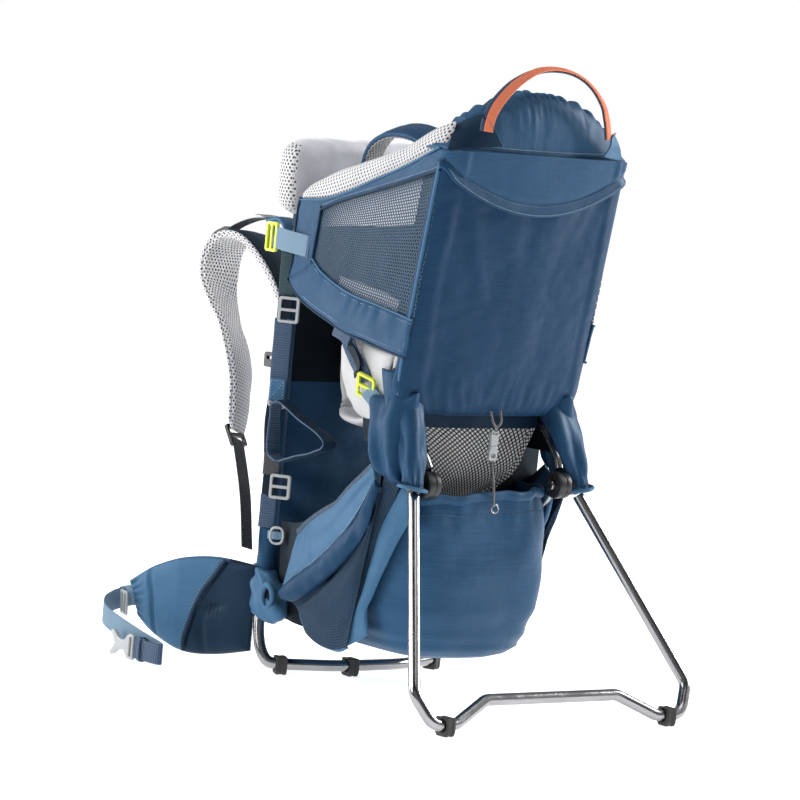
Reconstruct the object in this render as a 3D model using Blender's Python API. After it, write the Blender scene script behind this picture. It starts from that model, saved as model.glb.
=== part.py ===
"""Child carrier backpack: a bent tube frame with a folding kickstand, a padded cockpit for the child,
a lower bag, and the wearer's back pads, shoulder straps and hip belt, each as its own piece.

Metres, +Z up. The outer panel and the kickstand face -Y, the wearer's back faces +Y, and the plane x = 0
is the plane of symmetry. Places below are measured from the frame's ground bar, which lies along X
at y = 0; the empty "carrier" moves them all so that the origin is under the middle of the carrier.
"""

import math

import bmesh
import bpy
from mathutils import Vector

# ---- Driving dimensions ----
BAR_Y = 0.0695  # the ground bar's distance behind the middle of the carrier

FRAME_R = 0.007  # radius of the main frame's and the kickstand's tube
ARM_R = 0.006  # radius of the two side arms
HOOP_R = 0.0055  # radius of the hoop behind the outer panel
GROUND_Z = 0.0125  # height of a tube that stands on its feet
RAIL_X = 0.124  # half the distance between the frame's two rails
RAIL_Y = 0.046  # the rails stand this far behind the ground bar
FRAME_TOP = 0.5395  # height of the frame's top bar

HINGE_Y = -0.222  # the kickstand's hinge axis runs along X at this y and z
HINGE_Z = 0.264
HUB_X = 0.100  # middle of a hinge hub
EYE_X = 0.121  # middle of the eye at the top of a kickstand leg
SLEEVE_X = 0.111  # middle of the fabric sleeve over a hinge
LEG_X = 0.206  # half the kickstand's width at its lower corners
LEG_Y = -0.362
FOOT_X = 0.168  # where the kickstand's two feet sit
FOOT_Y = -0.376
STEP_X = 0.099  # half the length of the raised middle of the kickstand's bar
STEP_Z = 0.036

PANEL_BOTTOM = 0.343  # the outer panel, on its outer face
PANEL_TOP = 0.654
PANEL_HALF = 0.139
PANEL_Y = -0.202  # y of the panel's side edges at height PANEL_REF
PANEL_REF = 0.379
PANEL_LEAN = 0.168  # how much the panel leans out for each metre of height
PANEL_THICK = 0.023
PANEL_CROWN = 0.012
CAP_TOP = 0.727
HANDLE_TOP = 0.759
HANDLE_X = 0.090  # half the distance between the ends of the grab handle
HANDLE_Y = -0.266
HANDLE_Z = 0.686

BAG_HALF = 0.109  # the lower bag
BAG_BACK = 0.030
BAG_FRONT = -0.225
BAG_BOTTOM = 0.052
BAG_TOP = 0.250
BAG_WALL = 0.003

SIDE_X = 0.132  # half the width of the cockpit at its sides
POCKET_X = 0.1335  # half the width over the side pockets, when flat
WEB_X = 0.1345  # the webbing that runs down the outside of each rail
ADJUSTER_BAR = 0.0038  # width of the bars of a webbing adjuster
ADJUSTER_THICK = 0.0045
YOKE_Z = 0.392  # middle of the shoulder yoke
STRAP_WIDTH = 0.062
STRAP_THICK = 0.013
FIN_X = 0.143  # root of a hip fin
FIN_Y = 0.058
FIN_SLANT = 0.12  # how much further the fin's upper edge reaches than its lower one
BUCKLE_X = 0.262  # the two halves of the hip buckle
BUCKLE_Y = 0.1112  # where the belt's webbing enters its buckle
BUCKLE_Z = 0.0175

# ---- Routes of the right-hand pieces, as (x, y, z), and edges of the flanks, as (y, z) ----
GROUND_BAR = (
    (0.0, -0.0190, GROUND_Z),
    (0.050, -0.0160, GROUND_Z),
    (0.098, -0.0010, GROUND_Z),
    (0.118, 0.0085, GROUND_Z),
    (0.130, 0.0170, 0.0145),
    (0.1345, 0.0265, 0.0270),
    (0.1335, 0.0360, 0.0500),
    (0.1285, 0.0425, 0.0850),
    (RAIL_X, RAIL_Y, 0.1300),
)
SIDE_TOP = ((0.022, 0.583), (-0.050, 0.604), (-0.116, 0.624), (-0.170, 0.640), (-0.216, 0.654))
SIDE_LOW = ((0.037, 0.464), (-0.020, 0.447), (-0.076, 0.436), (-0.130, 0.424), (-0.174, 0.414))
STRAP_ROUTE = (
    (0.056, 0.0745, 0.372),
    (0.060, 0.094, 0.404),
    (0.066, 0.124, 0.450),
    (0.073, 0.155, 0.490),
    (0.079, 0.187, 0.5130),
    (0.084, 0.217, 0.5130),
    (0.088, 0.237, 0.493),
    (0.091, 0.237, 0.455),
    (0.095, 0.214, 0.420),
    (0.100, 0.182, 0.388),
    (0.105, 0.158, 0.352),
    (0.111, 0.146, 0.315),
    (0.118, 0.136, 0.278),
)
WEBBING_ROUTE = (
    (0.1198, 0.131, 0.2700),
    (0.1280, 0.106, 0.2380),
    (0.1400, 0.077, 0.2030),
    (0.1485, 0.054, 0.1470),
)
BELT_ROUTE = (
    (0.200, 0.2250, 0.0600),
    (0.204, 0.2300, 0.0580),
    (0.214, 0.2330, 0.0540),
    (0.230, 0.2270, 0.0480),
    (0.244, 0.2040, 0.0415),
    (0.250, 0.1620, 0.0340),
    (0.252, 0.1100, 0.0250),
    (0.252, 0.0720, 0.0190),
    (0.2565, 0.0625, 0.0175),
    (0.2610, 0.0720, BUCKLE_Z),
    (0.2620, 0.1100, BUCKLE_Z),
)

HOOK_Y = -0.2135
HOOK_LOW = 0.2920  # the hook's lower end
HOOK_STEPS = (0.0, 0.005, 0.011, 0.030, 0.035)
DRAWCORD_ROUTE = (
    (0, HOOK_Y, HOOK_LOW - 0.0015),
    (0, -0.2190, 0.2720),
    (0, -0.2226, 0.2540),
    (0, -0.2240, 0.2380),
)

SIDES = (("left", -1), ("right", 1))


# ---- Materials ----
def material(name, colour, roughness, metallic=0.0):
    """A Principled material of one colour."""
    made = bpy.data.materials.new(name)
    made.use_nodes = True
    shader = made.node_tree.nodes["Principled BSDF"]
    shader.inputs["Base Color"].default_value = (*colour, 1.0)
    shader.inputs["Roughness"].default_value = roughness
    shader.inputs["Metallic"].default_value = metallic
    made.diffuse_color = (*colour, 1.0)
    return made


def make_materials():
    return {
        "steel": material("stainless_tube", (0.60, 0.60, 0.60), 0.22, 1.0),
        "blue": material("blue_shell_fabric", (0.045, 0.105, 0.205), 0.62),
        "navy": material("navy_webbing", (0.020, 0.045, 0.095), 0.70),
        "sky": material("light_blue_webbing", (0.200, 0.330, 0.480), 0.70),
        "mesh": material("grey_spacer_mesh", (0.520, 0.520, 0.530), 0.85),
        "velour": material("grey_velour", (0.560, 0.550, 0.540), 0.90),
        "black": material("black_plastic", (0.020, 0.020, 0.022), 0.45),
        "grey": material("grey_plastic", (0.330, 0.340, 0.350), 0.40),
        "lime": material("lime_plastic", (0.640, 0.720, 0.100), 0.40),
        "salmon": material("salmon_webbing", (0.720, 0.230, 0.140), 0.70),
        "net": material("black_net", (0.060, 0.060, 0.065), 0.80),
    }


# ---- Paths ----
def through(points, steps=5):
    """A smooth curve through the points, with the given number of steps from each to the next."""
    points = [Vector(point) for point in points]
    ends = [2 * points[0] - points[1]] + points + [2 * points[-1] - points[-2]]
    curve = []
    for before, start, end, after in zip(ends, ends[1:], ends[2:], ends[3:]):
        for step in range(steps):
            t = step / steps
            curve.append(
                0.5
                * (
                    2 * start
                    + (end - before) * t
                    + (2 * before - 5 * start + 4 * end - after) * t * t
                    + (3 * start - before - 3 * end + after) * t * t * t
                )
            )
    curve.append(points[-1])
    return curve


def filleted(corners, radius, steps=4, closed=False):
    """The straight legs between the corners, with an arc of about the given radius at each bend."""
    corners = [Vector(corner) for corner in corners]
    count = len(corners)
    path = []
    for index, corner in enumerate(corners):
        if not closed and index in (0, count - 1):
            path.append(corner)
            continue
        back = corners[index - 1] - corner
        ahead = corners[(index + 1) % count] - corner
        turn = math.pi - back.angle(ahead)
        cut = min(radius * math.tan(turn / 2), 0.48 * back.length, 0.48 * ahead.length)
        start = corner + back.normalized() * cut
        end = corner + ahead.normalized() * cut
        for step in range(steps + 1):
            t = step / steps
            path.append((1 - t) ** 2 * start + 2 * t * (1 - t) * corner + t * t * end)
    return path


def blend_values(stops, t):
    """The value at t of a line through (t, value) stops."""
    for (t_low, low), (t_high, high) in zip(stops, stops[1:]):
        if t <= t_high:
            return low + (high - low) * max(0.0, t - t_low) / (t_high - t_low)
    return stops[-1][1]


# ---- Objects ----
class Body:
    """An empty on a moving group's joint axis, with the group's pieces under it."""

    def __init__(self, name, parent, pivot=(0.0, 0.0, 0.0)):
        self.pivot = Vector(pivot)
        self.empty = bpy.data.objects.new(name, None)
        self.empty.empty_display_size = 0.03
        bpy.context.scene.collection.objects.link(self.empty)
        if parent is None:
            self.empty.location = (0.0, BAR_Y, 0.0)
        else:
            self.empty.parent = parent.empty
            self.empty.location = self.pivot - parent.pivot

    def hold(self, obj, finish):
        obj.parent = self.empty
        obj.data.materials.append(finish)
        bpy.context.scene.collection.objects.link(obj)
        return obj


def from_bmesh(name, shape, body, finish, smooth=40.0):
    """Turns a closed bmesh, in carrier coordinates, into an object of the body."""
    bmesh.ops.translate(shape, verts=shape.verts, vec=-body.pivot)
    bmesh.ops.recalc_face_normals(shape, faces=shape.faces)
    mesh = bpy.data.meshes.new(name)
    shape.to_mesh(mesh)
    shape.free()
    mesh.shade_smooth()
    mesh.set_sharp_from_angle(angle=math.radians(smooth))
    return body.hold(bpy.data.objects.new(name, mesh), finish)


def tube(name, path, radius, body, finish, sides=2, closed=False):
    """A round tube along a path: a bevelled curve, with filled ends where it is open."""
    curve = bpy.data.curves.new(name, "CURVE")
    curve.dimensions = "3D"
    curve.bevel_depth = radius
    curve.bevel_resolution = sides
    curve.use_fill_caps = True
    spline = curve.splines.new("POLY")
    spline.points.add(len(path) - 1)
    for point, place in zip(spline.points, path):
        point.co = (*(Vector(place) - body.pivot), 1.0)
    spline.use_cyclic_u = closed
    spline.use_smooth = True
    return body.hold(bpy.data.objects.new(name, curve), finish)


def loft(name, rings, body, finish, smooth=40.0, closed=False):
    """Skins rings of equally many points; the first and last are capped unless the loft is closed."""
    shape = bmesh.new()
    rows = [[shape.verts.new(point) for point in ring] for ring in rings]
    pairs = list(zip(rows, rows[1:]))
    if closed:
        pairs.append((rows[-1], rows[0]))
    for low, high in pairs:
        for index in range(len(low)):
            after = (index + 1) % len(low)
            shape.faces.new((low[index], low[after], high[after], high[index]))
    if not closed:
        shape.faces.new(rows[0][::-1])
        shape.faces.new(rows[-1])
    return from_bmesh(name, shape, body, finish, smooth)


def frames_along(path, across, closed=False):
    """For each point of the path: the point, the unit vector across it and the one out of its face."""
    found = []
    count = len(path)
    for index, point in enumerate(path):
        if closed:
            ahead = path[(index + 1) % count] - path[index - 1]
        else:
            ahead = path[min(index + 1, count - 1)] - path[max(index - 1, 0)]
        out = ahead.cross(Vector(across)).normalized()
        found.append((point, out.cross(ahead).normalized(), out))
    return found


def strap(name, path, width, thick, body, finish, across=(1, 0, 0), round_off=0.0, closed=False):
    """A flat strap along a path. width and thick are numbers, or functions of the way along, 0 to 1.
    With round_off, its edges are chamfered by that share of the thickness."""
    rings = []
    last = max(len(path) - 1, 1)
    for index, (point, side, out) in enumerate(frames_along(path, across, closed)):
        half_w = (width(index / last) if callable(width) else width) / 2
        half_t = (thick(index / last) if callable(thick) else thick) / 2
        if round_off:
            inset = half_t * round_off * 1.5
            low = half_t * (1 - round_off)
            corners = (
                (-half_w, -low),
                (-half_w + inset, -half_t),
                (half_w - inset, -half_t),
                (half_w, -low),
                (half_w, low),
                (half_w - inset, half_t),
                (-half_w + inset, half_t),
                (-half_w, low),
            )
        else:
            corners = ((-half_w, -half_t), (half_w, -half_t), (half_w, half_t), (-half_w, half_t))
        rings.append([point + side * a + out * b for a, b in corners])
    return loft(name, rings, body, finish, closed=closed)


def sheet_solid(name, surface, cells, thick, body, finish, smooth=60.0):
    """A closed solid round surface(u, v), u and v from 0 to 1. thick is a number or a function of u, v."""
    across, up = cells
    delta = 1e-4
    shape = bmesh.new()
    layers = ([], [])
    for row in range(up + 1):
        for column in range(across + 1):
            u = column / across
            v = row / up
            middle = Vector(surface(u, v))
            u_slope = Vector(surface(u + delta, v)) - Vector(surface(u - delta, v))
            v_slope = Vector(surface(u, v + delta)) - Vector(surface(u, v - delta))
            out = u_slope.cross(v_slope).normalized()
            half = (thick(u, v) if callable(thick) else thick) / 2
            for layer, sign in zip(layers, (-1, 1)):
                layer.append(shape.verts.new(middle + sign * half * out))
    wide = across + 1
    for row in range(up):
        for column in range(across):
            corner = row * wide + column
            square = (corner, corner + 1, corner + wide + 1, corner + wide)
            for layer in layers:
                shape.faces.new([layer[index] for index in square])
    edge = list(range(wide))
    edge += [row * wide + across for row in range(1, up + 1)]
    edge += [up * wide + column for column in range(across - 1, -1, -1)]
    edge += [row * wide for row in range(up - 1, 0, -1)]
    for start, end in zip(edge, edge[1:] + edge[:1]):
        shape.faces.new((layers[0][start], layers[0][end], layers[1][end], layers[1][start]))
    return from_bmesh(name, shape, body, finish, smooth)


def superellipse(centre, half_x, half_y, power, count=24):
    """Points of a flat rounded outline round the centre, in a plane of constant z."""
    ring = []
    for index in range(count):
        angle = 2 * math.pi * (index + 0.5) / count
        c = math.cos(angle)
        s = math.sin(angle)
        x = math.copysign(abs(c) ** (2 / power), c) * half_x
        y = math.copysign(abs(s) ** (2 / power), s) * half_y
        ring.append(Vector(centre) + Vector((x, y, 0)))
    return ring


def collar(name, centre, axis, inner, outer, length, body, finish, segments=20):
    """A ring with a round hole, round the axis."""
    turn = Vector(axis).to_track_quat("Z", "Y").to_matrix()
    rings = []
    for index in range(segments):
        angle = 2 * math.pi * index / segments
        out = Vector((math.cos(angle), math.sin(angle), 0))
        corners = ((inner, -1), (outer, -1), (outer, 1), (inner, 1))
        rings.append(
            [
                Vector(centre) + turn @ (out * radius + Vector((0, 0, side * length / 2)))
                for radius, side in corners
            ]
        )
    return loft(name, rings, body, finish, smooth=50.0, closed=True)


def turned(name, start, axis, profile, body, finish, segments=14):
    """A solid turned round the axis, from (distance along it, radius) pairs."""
    turn = Vector(axis).to_track_quat("Z", "Y").to_matrix()
    rings = []
    for along, radius in profile:
        ring = []
        for index in range(segments):
            angle = 2 * math.pi * index / segments
            spot = Vector((math.cos(angle) * radius, math.sin(angle) * radius, along))
            ring.append(Vector(start) + turn @ spot)
        rings.append(ring)
    return loft(name, rings, body, finish)


def lattice_plate(name, centre, axes, columns, rows, holes, thick, body, finish):
    """A flat plate of cells between the columns and rows, without the cells named in holes.
    axes are the plate's directions along its columns and its rows."""
    across = Vector(axes[0]).normalized()
    up = Vector(axes[1]).normalized()
    out = across.cross(up).normalized()
    shape = bmesh.new()
    corner = {}

    def vertex(i, j, side):
        if (i, j, side) not in corner:
            spot = Vector(centre) + across * columns[i] + up * rows[j] + out * side * thick / 2
            corner[i, j, side] = shape.verts.new(spot)
        return corner[i, j, side]

    cells = {
        (i, j) for i in range(len(columns) - 1) for j in range(len(rows) - 1) if (i, j) not in holes
    }
    for i, j in cells:
        for side in (-1, 1):
            square = ((i, j), (i + 1, j), (i + 1, j + 1), (i, j + 1))
            shape.faces.new([vertex(a, b, side) for a, b in square])
        walls = (
            ((i, j - 1), (i, j), (i + 1, j)),
            ((i + 1, j), (i + 1, j), (i + 1, j + 1)),
            ((i, j + 1), (i + 1, j + 1), (i, j + 1)),
            ((i - 1, j), (i, j + 1), (i, j)),
        )
        for beside, (a, b), (c, d) in walls:
            if beside not in cells:
                shape.faces.new(
                    (vertex(a, b, -1), vertex(c, d, -1), vertex(c, d, 1), vertex(a, b, 1))
                )
    return from_bmesh(name, shape, body, finish)


def ladder_lock(name, centre, axes, width, height, bar, thick, body, finish):
    """A webbing adjuster: a rectangular frame with a middle bar along its width."""
    columns = (-width / 2, -width / 2 + bar, width / 2 - bar, width / 2)
    half = height / 2
    rows = (-half, -half + bar, -bar / 2, bar / 2, half - bar, half)
    return lattice_plate(
        name, centre, axes, columns, rows, {(1, 1), (1, 3)}, thick, body, finish
    )


# ---- The frame and the kickstand ----


def main_frame(root, finish):
    """One closed tube: a bowed ground bar, two rails and a top bar."""
    left = [(-x, y, z) for x, y, z in GROUND_BAR[:0:-1]]
    low = through(left + list(GROUND_BAR), 3)
    top = ((1, 0.300), (1, FRAME_TOP), (-1, FRAME_TOP), (-1, 0.300))
    high = filleted([(sx * RAIL_X, RAIL_Y, z) for sx, z in top], 0.022)
    tube("main_frame", low + high, FRAME_R, root, finish, sides=3, closed=True)


def side_arms(root, finish):
    """The tubes that join the rails' lower ends to the kickstand's hubs."""
    for side, sx in SIDES:
        route = (
            (sx * HUB_X, HINGE_Y + 0.0145, HINGE_Z - 0.0103),
            (sx * 0.107, -0.190, 0.241),
            (sx * 0.1175, -0.150, 0.2135),
            (sx * 0.1175, -0.040, 0.139),
            (sx * 0.1195, 0.012, 0.106),
            (sx * 0.1220, 0.029, 0.094),
        )
        tube(f"side_arm_{side}", through(route, 3), ARM_R, root, finish)


def panel_hoop(root, finish):
    """The hoop that carries the outer panel, from hub to hub behind it."""
    right = (
        (HUB_X, HINGE_Y + 0.0015, HINGE_Z + 0.0190),
        (0.102, -0.212, 0.298),
        (0.110, -0.172, 0.330),
        (0.116, -0.160, 0.365),
        (0.118, -0.196, 0.600),
        (0.112, -0.198, 0.643),
    )
    corners = list(right) + [(-x, y, z) for x, y, z in reversed(right)]
    tube("panel_hoop", filleted(corners, 0.030), HOOP_R, root, finish)


def hinges(root, stand, finishes):
    for side, sx in SIDES:
        hub = (sx * HUB_X, HINGE_Y, HINGE_Z)
        eye = (sx * EYE_X, HINGE_Y, HINGE_Z)
        collar(f"hinge_hub_{side}", hub, (1, 0, 0), 0.0040, 0.0160, 0.018, root, finishes["black"])
        collar(f"leg_eye_{side}", eye, (1, 0, 0), 0.0040, 0.0115, 0.013, stand, finishes["black"])
        pin = (
            (0.0, 0.0065),
            (0.0045, 0.0065),
            (0.0046, 0.0036),
            (0.0420, 0.0036),
            (0.0421, 0.0065),
            (0.0460, 0.0065),
        )
        start = (sx * 0.0855, HINGE_Y, HINGE_Z)
        turned(f"hinge_pin_{side}", start, (sx, 0, 0), pin, root, finishes["steel"])


def kickstand(stand, finishes):
    """The folding stand: one tube from eye to eye, with its feet."""
    right = (
        (0.1255, HINGE_Y - 0.0072, HINGE_Z - 0.0113),
        (LEG_X, LEG_Y, 0.046),
        (FOOT_X + 0.020, FOOT_Y - 0.0018, GROUND_Z),
        (FOOT_X - 0.016, FOOT_Y + 0.00144, GROUND_Z),
        (STEP_X, -0.360, STEP_Z),
    )
    corners = list(right) + [(-x, y, z) for x, y, z in reversed(right)]
    tube("kickstand_tube", filleted(corners, 0.022), FRAME_R, stand, finishes["steel"], sides=3)
    for side, sx in SIDES:
        foot_block(f"kickstand_foot_{side}", (sx * FOOT_X, FOOT_Y), (sx, -0.09, 0), stand, finishes)


def foot_block(name, place, along, body, finishes):
    """A rubber foot clipped round a ground tube, flat underneath."""
    centre = Vector((place[0], place[1], GROUND_Z))
    along = Vector(along).normalized()
    across = Vector((0, 0, 1)).cross(along).normalized()
    hole = FRAME_R + 0.0012
    segments = 16
    rings = []
    for index in range(segments):
        angle = 2 * math.pi * (index + 0.5) / segments
        c = math.cos(angle)
        s = math.sin(angle)
        outer_c = max(-1.0, min(1.0, 1.25 * c)) * 0.0118
        outer_s = max(-GROUND_Z, min(0.0112, 0.0160 * s))
        inner = across * c * hole + Vector((0, 0, s * hole))
        outer = across * outer_c + Vector((0, 0, outer_s))
        shifts = (-0.0095, 0.0095)
        rings.append(
            [
                centre + inner + along * shifts[0],
                centre + outer + along * shifts[0],
                centre + outer + along * shifts[1],
                centre + inner + along * shifts[1],
            ]
        )
    loft(name, rings, body, finishes["black"], closed=True)


def frame_feet(root, finishes):
    """Three feet on the ground bar, the middle one a little to the left."""
    for name, x, y, along in (
        ("left", -0.110, 0.0045, (0.9, -0.42, 0)),
        ("middle", -0.030, -0.0177, (1, -0.07, 0)),
        ("right", 0.110, 0.0045, (0.9, 0.42, 0)),
    ):
        foot_block(f"frame_foot_{name}", (x, y), along, root, finishes)


# ---- The cockpit ----
def panel_edge_y(z):
    """y of the outer panel's outer face at its side edges."""
    return PANEL_Y - (z - PANEL_REF) * PANEL_LEAN


def outer_panel(root, finish):
    """The padded panel behind the child, with rounded lower corners."""

    def surface(u, v):
        z = PANEL_BOTTOM + (PANEL_TOP - PANEL_BOTTOM) * v
        s = 2 * u - 1
        narrow = max(0.0, 1 - v / 0.12) ** 2 * 0.026
        middle = panel_edge_y(z) + PANEL_THICK / 2 - PANEL_CROWN * (1 - s * s)
        return ((PANEL_HALF - narrow) * s, middle, z)

    def thick(u, v):
        edge = min(u, 1 - u, v, 1 - v)
        return PANEL_THICK * (0.55 + 0.45 * min(1.0, edge / 0.12))

    sheet_solid("outer_panel", surface, (12, 10), thick, root, finish)


def head_cap(root, finish):
    """The domed top of the outer panel, which holds the folded sun roof."""
    levels = (
        (0.657, 0.132, 0.024),
        (0.672, 0.120, 0.029),
        (0.690, 0.106, 0.030),
        (0.706, 0.088, 0.027),
        (0.719, 0.064, 0.021),
        (CAP_TOP, 0.034, 0.011),
    )
    rings = [superellipse((0, -0.232, z), half, depth, 2.5) for z, half, depth in levels]
    loft("head_cap", rings, root, finish, smooth=80.0)


def grab_handle(handle, finish):
    """The carrying strap over the cap."""
    right = (
        (HANDLE_X, 0.0),
        (HANDLE_X + 0.001, 0.020),
        (HANDLE_X - 0.010, 0.046),
        (HANDLE_X - 0.042, 0.065),
    )
    arch = [(-x, HANDLE_Y, HANDLE_Z + z) for x, z in right]
    arch.append((0.0, HANDLE_Y, HANDLE_TOP - 0.0022))
    arch += [(x, HANDLE_Y, HANDLE_Z + z) for x, z in reversed(right)]
    path = through(arch, 3)
    strap("grab_handle", path, 0.022, 0.0044, handle, finish, across=(0, 1, 0))


def along_edge(edge, t):
    """The point (y, z) at t, 0 to 1, of a line through evenly spaced points."""
    place = max(0.0, min(0.9999, t)) * (len(edge) - 1)
    index = int(place)
    share = place - index
    start = edge[index]
    end = edge[index + 1]
    return tuple(a + (b - a) * share for a, b in zip(start, end))


def beyond_edge(edge, t):
    """The same, going straight on past both ends of the line."""
    count = len(edge) - 1
    index = max(0, min(count - 1, int(t * count)))
    share = t * count - index
    return tuple(a + (b - a) * share for a, b in zip(edge[index], edge[index + 1]))


def side_panels(root, finish):
    """The flanks of the cockpit, from the outer panel forward to the wearer's side."""
    for side, sx in SIDES:

        def surface(u, v, sx=sx):
            y_top, z_top = along_edge(SIDE_TOP, u)
            y_low, z_low = along_edge(SIDE_LOW, u)
            swell = 0.010 * math.sin(math.pi * min(1, max(0, u))) * math.sin(math.pi * v)
            x = SIDE_X + 0.006 * u + swell
            y = y_low + (y_top - y_low) * v
            z = z_low + (z_top - z_low) * v
            return (sx * x, y, z)

        sheet_solid(f"side_panel_{side}", surface, (8, 5), 0.004, root, finish)


def rim_pads(root, finish):
    """The soft edge on top of each flank."""
    for side, sx in SIDES:
        route = []
        for step in range(9):
            t = step / 8
            y, z = along_edge(SIDE_TOP, t)
            route.append(Vector((sx * (SIDE_X - 0.001 - 0.008 * t * t), y + 0.007, z + 0.0185)))

        def height(t):
            return 0.029 * blend_values(((0, 0.35), (0.12, 0.85), (0.3, 1.0), (1, 1.0)), t)

        strap(
            f"rim_pad_{side}", route, height, 0.015, root, finish, across=(0, 0, 1), round_off=0.5
        )


def chin_pad(root, finish):
    """The pad in front of the child's face, over the wearer's neck."""
    rings = []
    for y, half, low, high in (
        (0.056, 0.118, 0.560, 0.640),
        (0.062, 0.126, 0.552, 0.648),
        (0.092, 0.126, 0.552, 0.648),
        (0.100, 0.117, 0.561, 0.639),
    ):
        flat = superellipse((0, 0, 0), half, (high - low) / 2, 5.0, 28)
        rings.append([Vector((spot.x, y, (low + high) / 2 + spot.y)) for spot in flat])
    loft("chin_pad", rings, root, finish, smooth=50.0)


def seat_sling(seat, finish):
    """The cloth seat: down from the outer panel, under the child and up in front, narrower there."""
    profile = (
        (-0.150, 0.430),
        (-0.141, 0.370),
        (-0.108, 0.328),
        (-0.050, 0.312),
        (-0.002, 0.324),
        (0.018, 0.368),
        (0.022, 0.430),
    )
    path = through([(0, y, z) for y, z in profile], 3)
    widths = ((0.0, 0.200), (0.30, 0.196), (0.55, 0.170), (0.75, 0.125), (1.0, 0.104))
    strap(
        "seat_sling",
        path,
        lambda t: blend_values(widths, t),
        0.011,
        seat,
        finish,
        round_off=0.5,
    )


def backrest_pad(root, finish):
    """The child's backrest, inside the outer panel."""

    def surface(u, v):
        z = 0.455 + 0.170 * v
        s = 2 * u - 1
        return (0.095 * s, -0.148 - (z - PANEL_REF) * PANEL_LEAN + 0.004 * s * s, z)

    def thick(u, v):
        return 0.016 * (0.6 + 0.4 * min(1.0, min(u, 1 - u, v, 1 - v) / 0.15))

    sheet_solid("backrest_pad", surface, (6, 5), thick, root, finish)


def harness(root, finishes):
    """The child's shoulder pads and the buckle between them."""
    profile = (
        (-0.168, 0.602),
        (-0.152, 0.640),
        (-0.105, 0.664),
        (-0.048, 0.666),
        (-0.006, 0.645),
        (0.012, 0.600),
        (0.010, 0.548),
        (0.002, 0.505),
    )
    for side, sx in SIDES:
        last = len(profile) - 1
        route = [
            (sx * (0.054 - 0.012 * (step / last) ** 2), y, z) for step, (y, z) in enumerate(profile)
        ]
        strap(
            f"harness_pad_{side}",
            through(route, 2),
            0.040,
            0.010,
            root,
            finishes["blue"],
            round_off=0.5,
        )
    rings = []
    for y, half in ((-0.009, 0.020), (-0.006, 0.024), (0.006, 0.024), (0.009, 0.020)):
        flat = superellipse((0, 0, 0), half, half * 0.8, 4.0, 12)
        rings.append([Vector((spot.x, y, 0.466 + spot.y)) for spot in flat])
    loft("harness_buckle", rings, root, finishes["black"])


# ---- The bag and the pockets ----
def lower_bag(root, finish):
    """The big compartment under the seat: a shell that is open at the top."""
    middle = (BAG_FRONT + BAG_BACK) / 2
    depth = (BAG_BACK - BAG_FRONT) / 2
    levels = (
        (BAG_BOTTOM, 0.80, 0.82),
        (BAG_BOTTOM + 0.010, 0.92, 0.93),
        (0.095, 0.99, 0.985),
        (0.150, 1.0, 1.0),
        (0.205, 0.99, 0.98),
        (BAG_TOP, 0.95, 0.935),
    )
    outside = []
    inside = []
    for z, wide, deep in levels:
        half_x = BAG_HALF * wide
        half_y = depth * deep
        outside.append(superellipse((0, middle, z), half_x, half_y, 4.0, 28))
        lift = BAG_WALL if z == BAG_BOTTOM else 0.0
        shrunk = (half_x - BAG_WALL, half_y - BAG_WALL)
        inside.append(superellipse((0, middle, z + lift), *shrunk, 4.0, 28))
    loft("lower_bag", outside + inside[::-1], root, finish, smooth=50.0)


def net_panel(root, finish):
    """The net between the seat's underside and the bag."""

    def surface(u, v):
        s = 2 * u - 1
        return (0.088 * s, -0.156 - 0.018 * v + 0.010 * s * s, 0.254 + 0.078 * v)

    sheet_solid("net_panel", surface, (6, 3), 0.003, root, finish)


def side_pockets(root, finish):
    """A flat pocket on each side of the bag, under a diagonal rolled edge."""
    low = ((0.018, 0.080), (-0.040, 0.062), (-0.100, 0.058), (-0.155, 0.062))
    high = ((-0.008, 0.178), (-0.060, 0.210), (-0.115, 0.245), (-0.162, 0.268))
    for side, sx in SIDES:

        def surface(u, v, sx=sx):
            y_low, z_low = along_edge(low, u)
            y_high, z_high = along_edge(high, u)
            swell = 0.012 * math.sin(math.pi * min(1, max(0, u))) * math.sin(math.pi * v)
            y = y_low + (y_high - y_low) * v
            z = z_low + (z_high - z_low) * v
            return (sx * (POCKET_X + swell), y, z)

        sheet_solid(f"side_pocket_{side}", surface, (6, 5), 0.007, root, finish)


def hinge_sleeves(root, finish):
    """The fabric sleeves round the foot of the hoop, at the outer panel's lower corners."""
    wall = 0.004
    levels = (
        (0.2850, 0.0225, -0.216),
        (0.3000, 0.0245, -0.209),
        (0.3150, 0.0240, -0.197),
        (0.3300, 0.0225, -0.183),
    )
    for side, sx in SIDES:
        outside = []
        inside = []
        for z, half, y in levels:
            centre = (sx * SLEEVE_X, y, z)
            outside.append(superellipse(centre, half, half, 2.5, 14))
            inside.append(superellipse(centre, half - wall, half - wall, 2.5, 14))
        rings = outside + inside[::-1]
        loft(f"hinge_sleeve_{side}", rings, root, finish, smooth=60.0, closed=True)


def bag_closure(closure, finishes):
    """The hook on the bag's drawcord, hooked up under the outer panel."""
    columns = (-0.0065, -0.0030, 0.0030, 0.0065)
    axes = ((1, 0, 0), (0, 0, 1))
    place = (0, HOOK_Y, HOOK_LOW)
    holes = {(1, 0), (1, 2)}
    lattice_plate(
        "closure_hook", place, axes, columns, HOOK_STEPS, holes, 0.004, closure, finishes["grey"]
    )
    tube("drawcord", through(DRAWCORD_ROUTE, 4), 0.0016, closure, finishes["black"])


# ---- The wearer's side ----
def back_panel(root, finish):
    """The stretched sheet between the rails."""

    def surface(u, v):
        return (0.111 * (2 * u - 1), RAIL_Y, 0.068 + 0.450 * v)

    sheet_solid("back_panel", surface, (4, 8), 0.010, root, finish)


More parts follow.
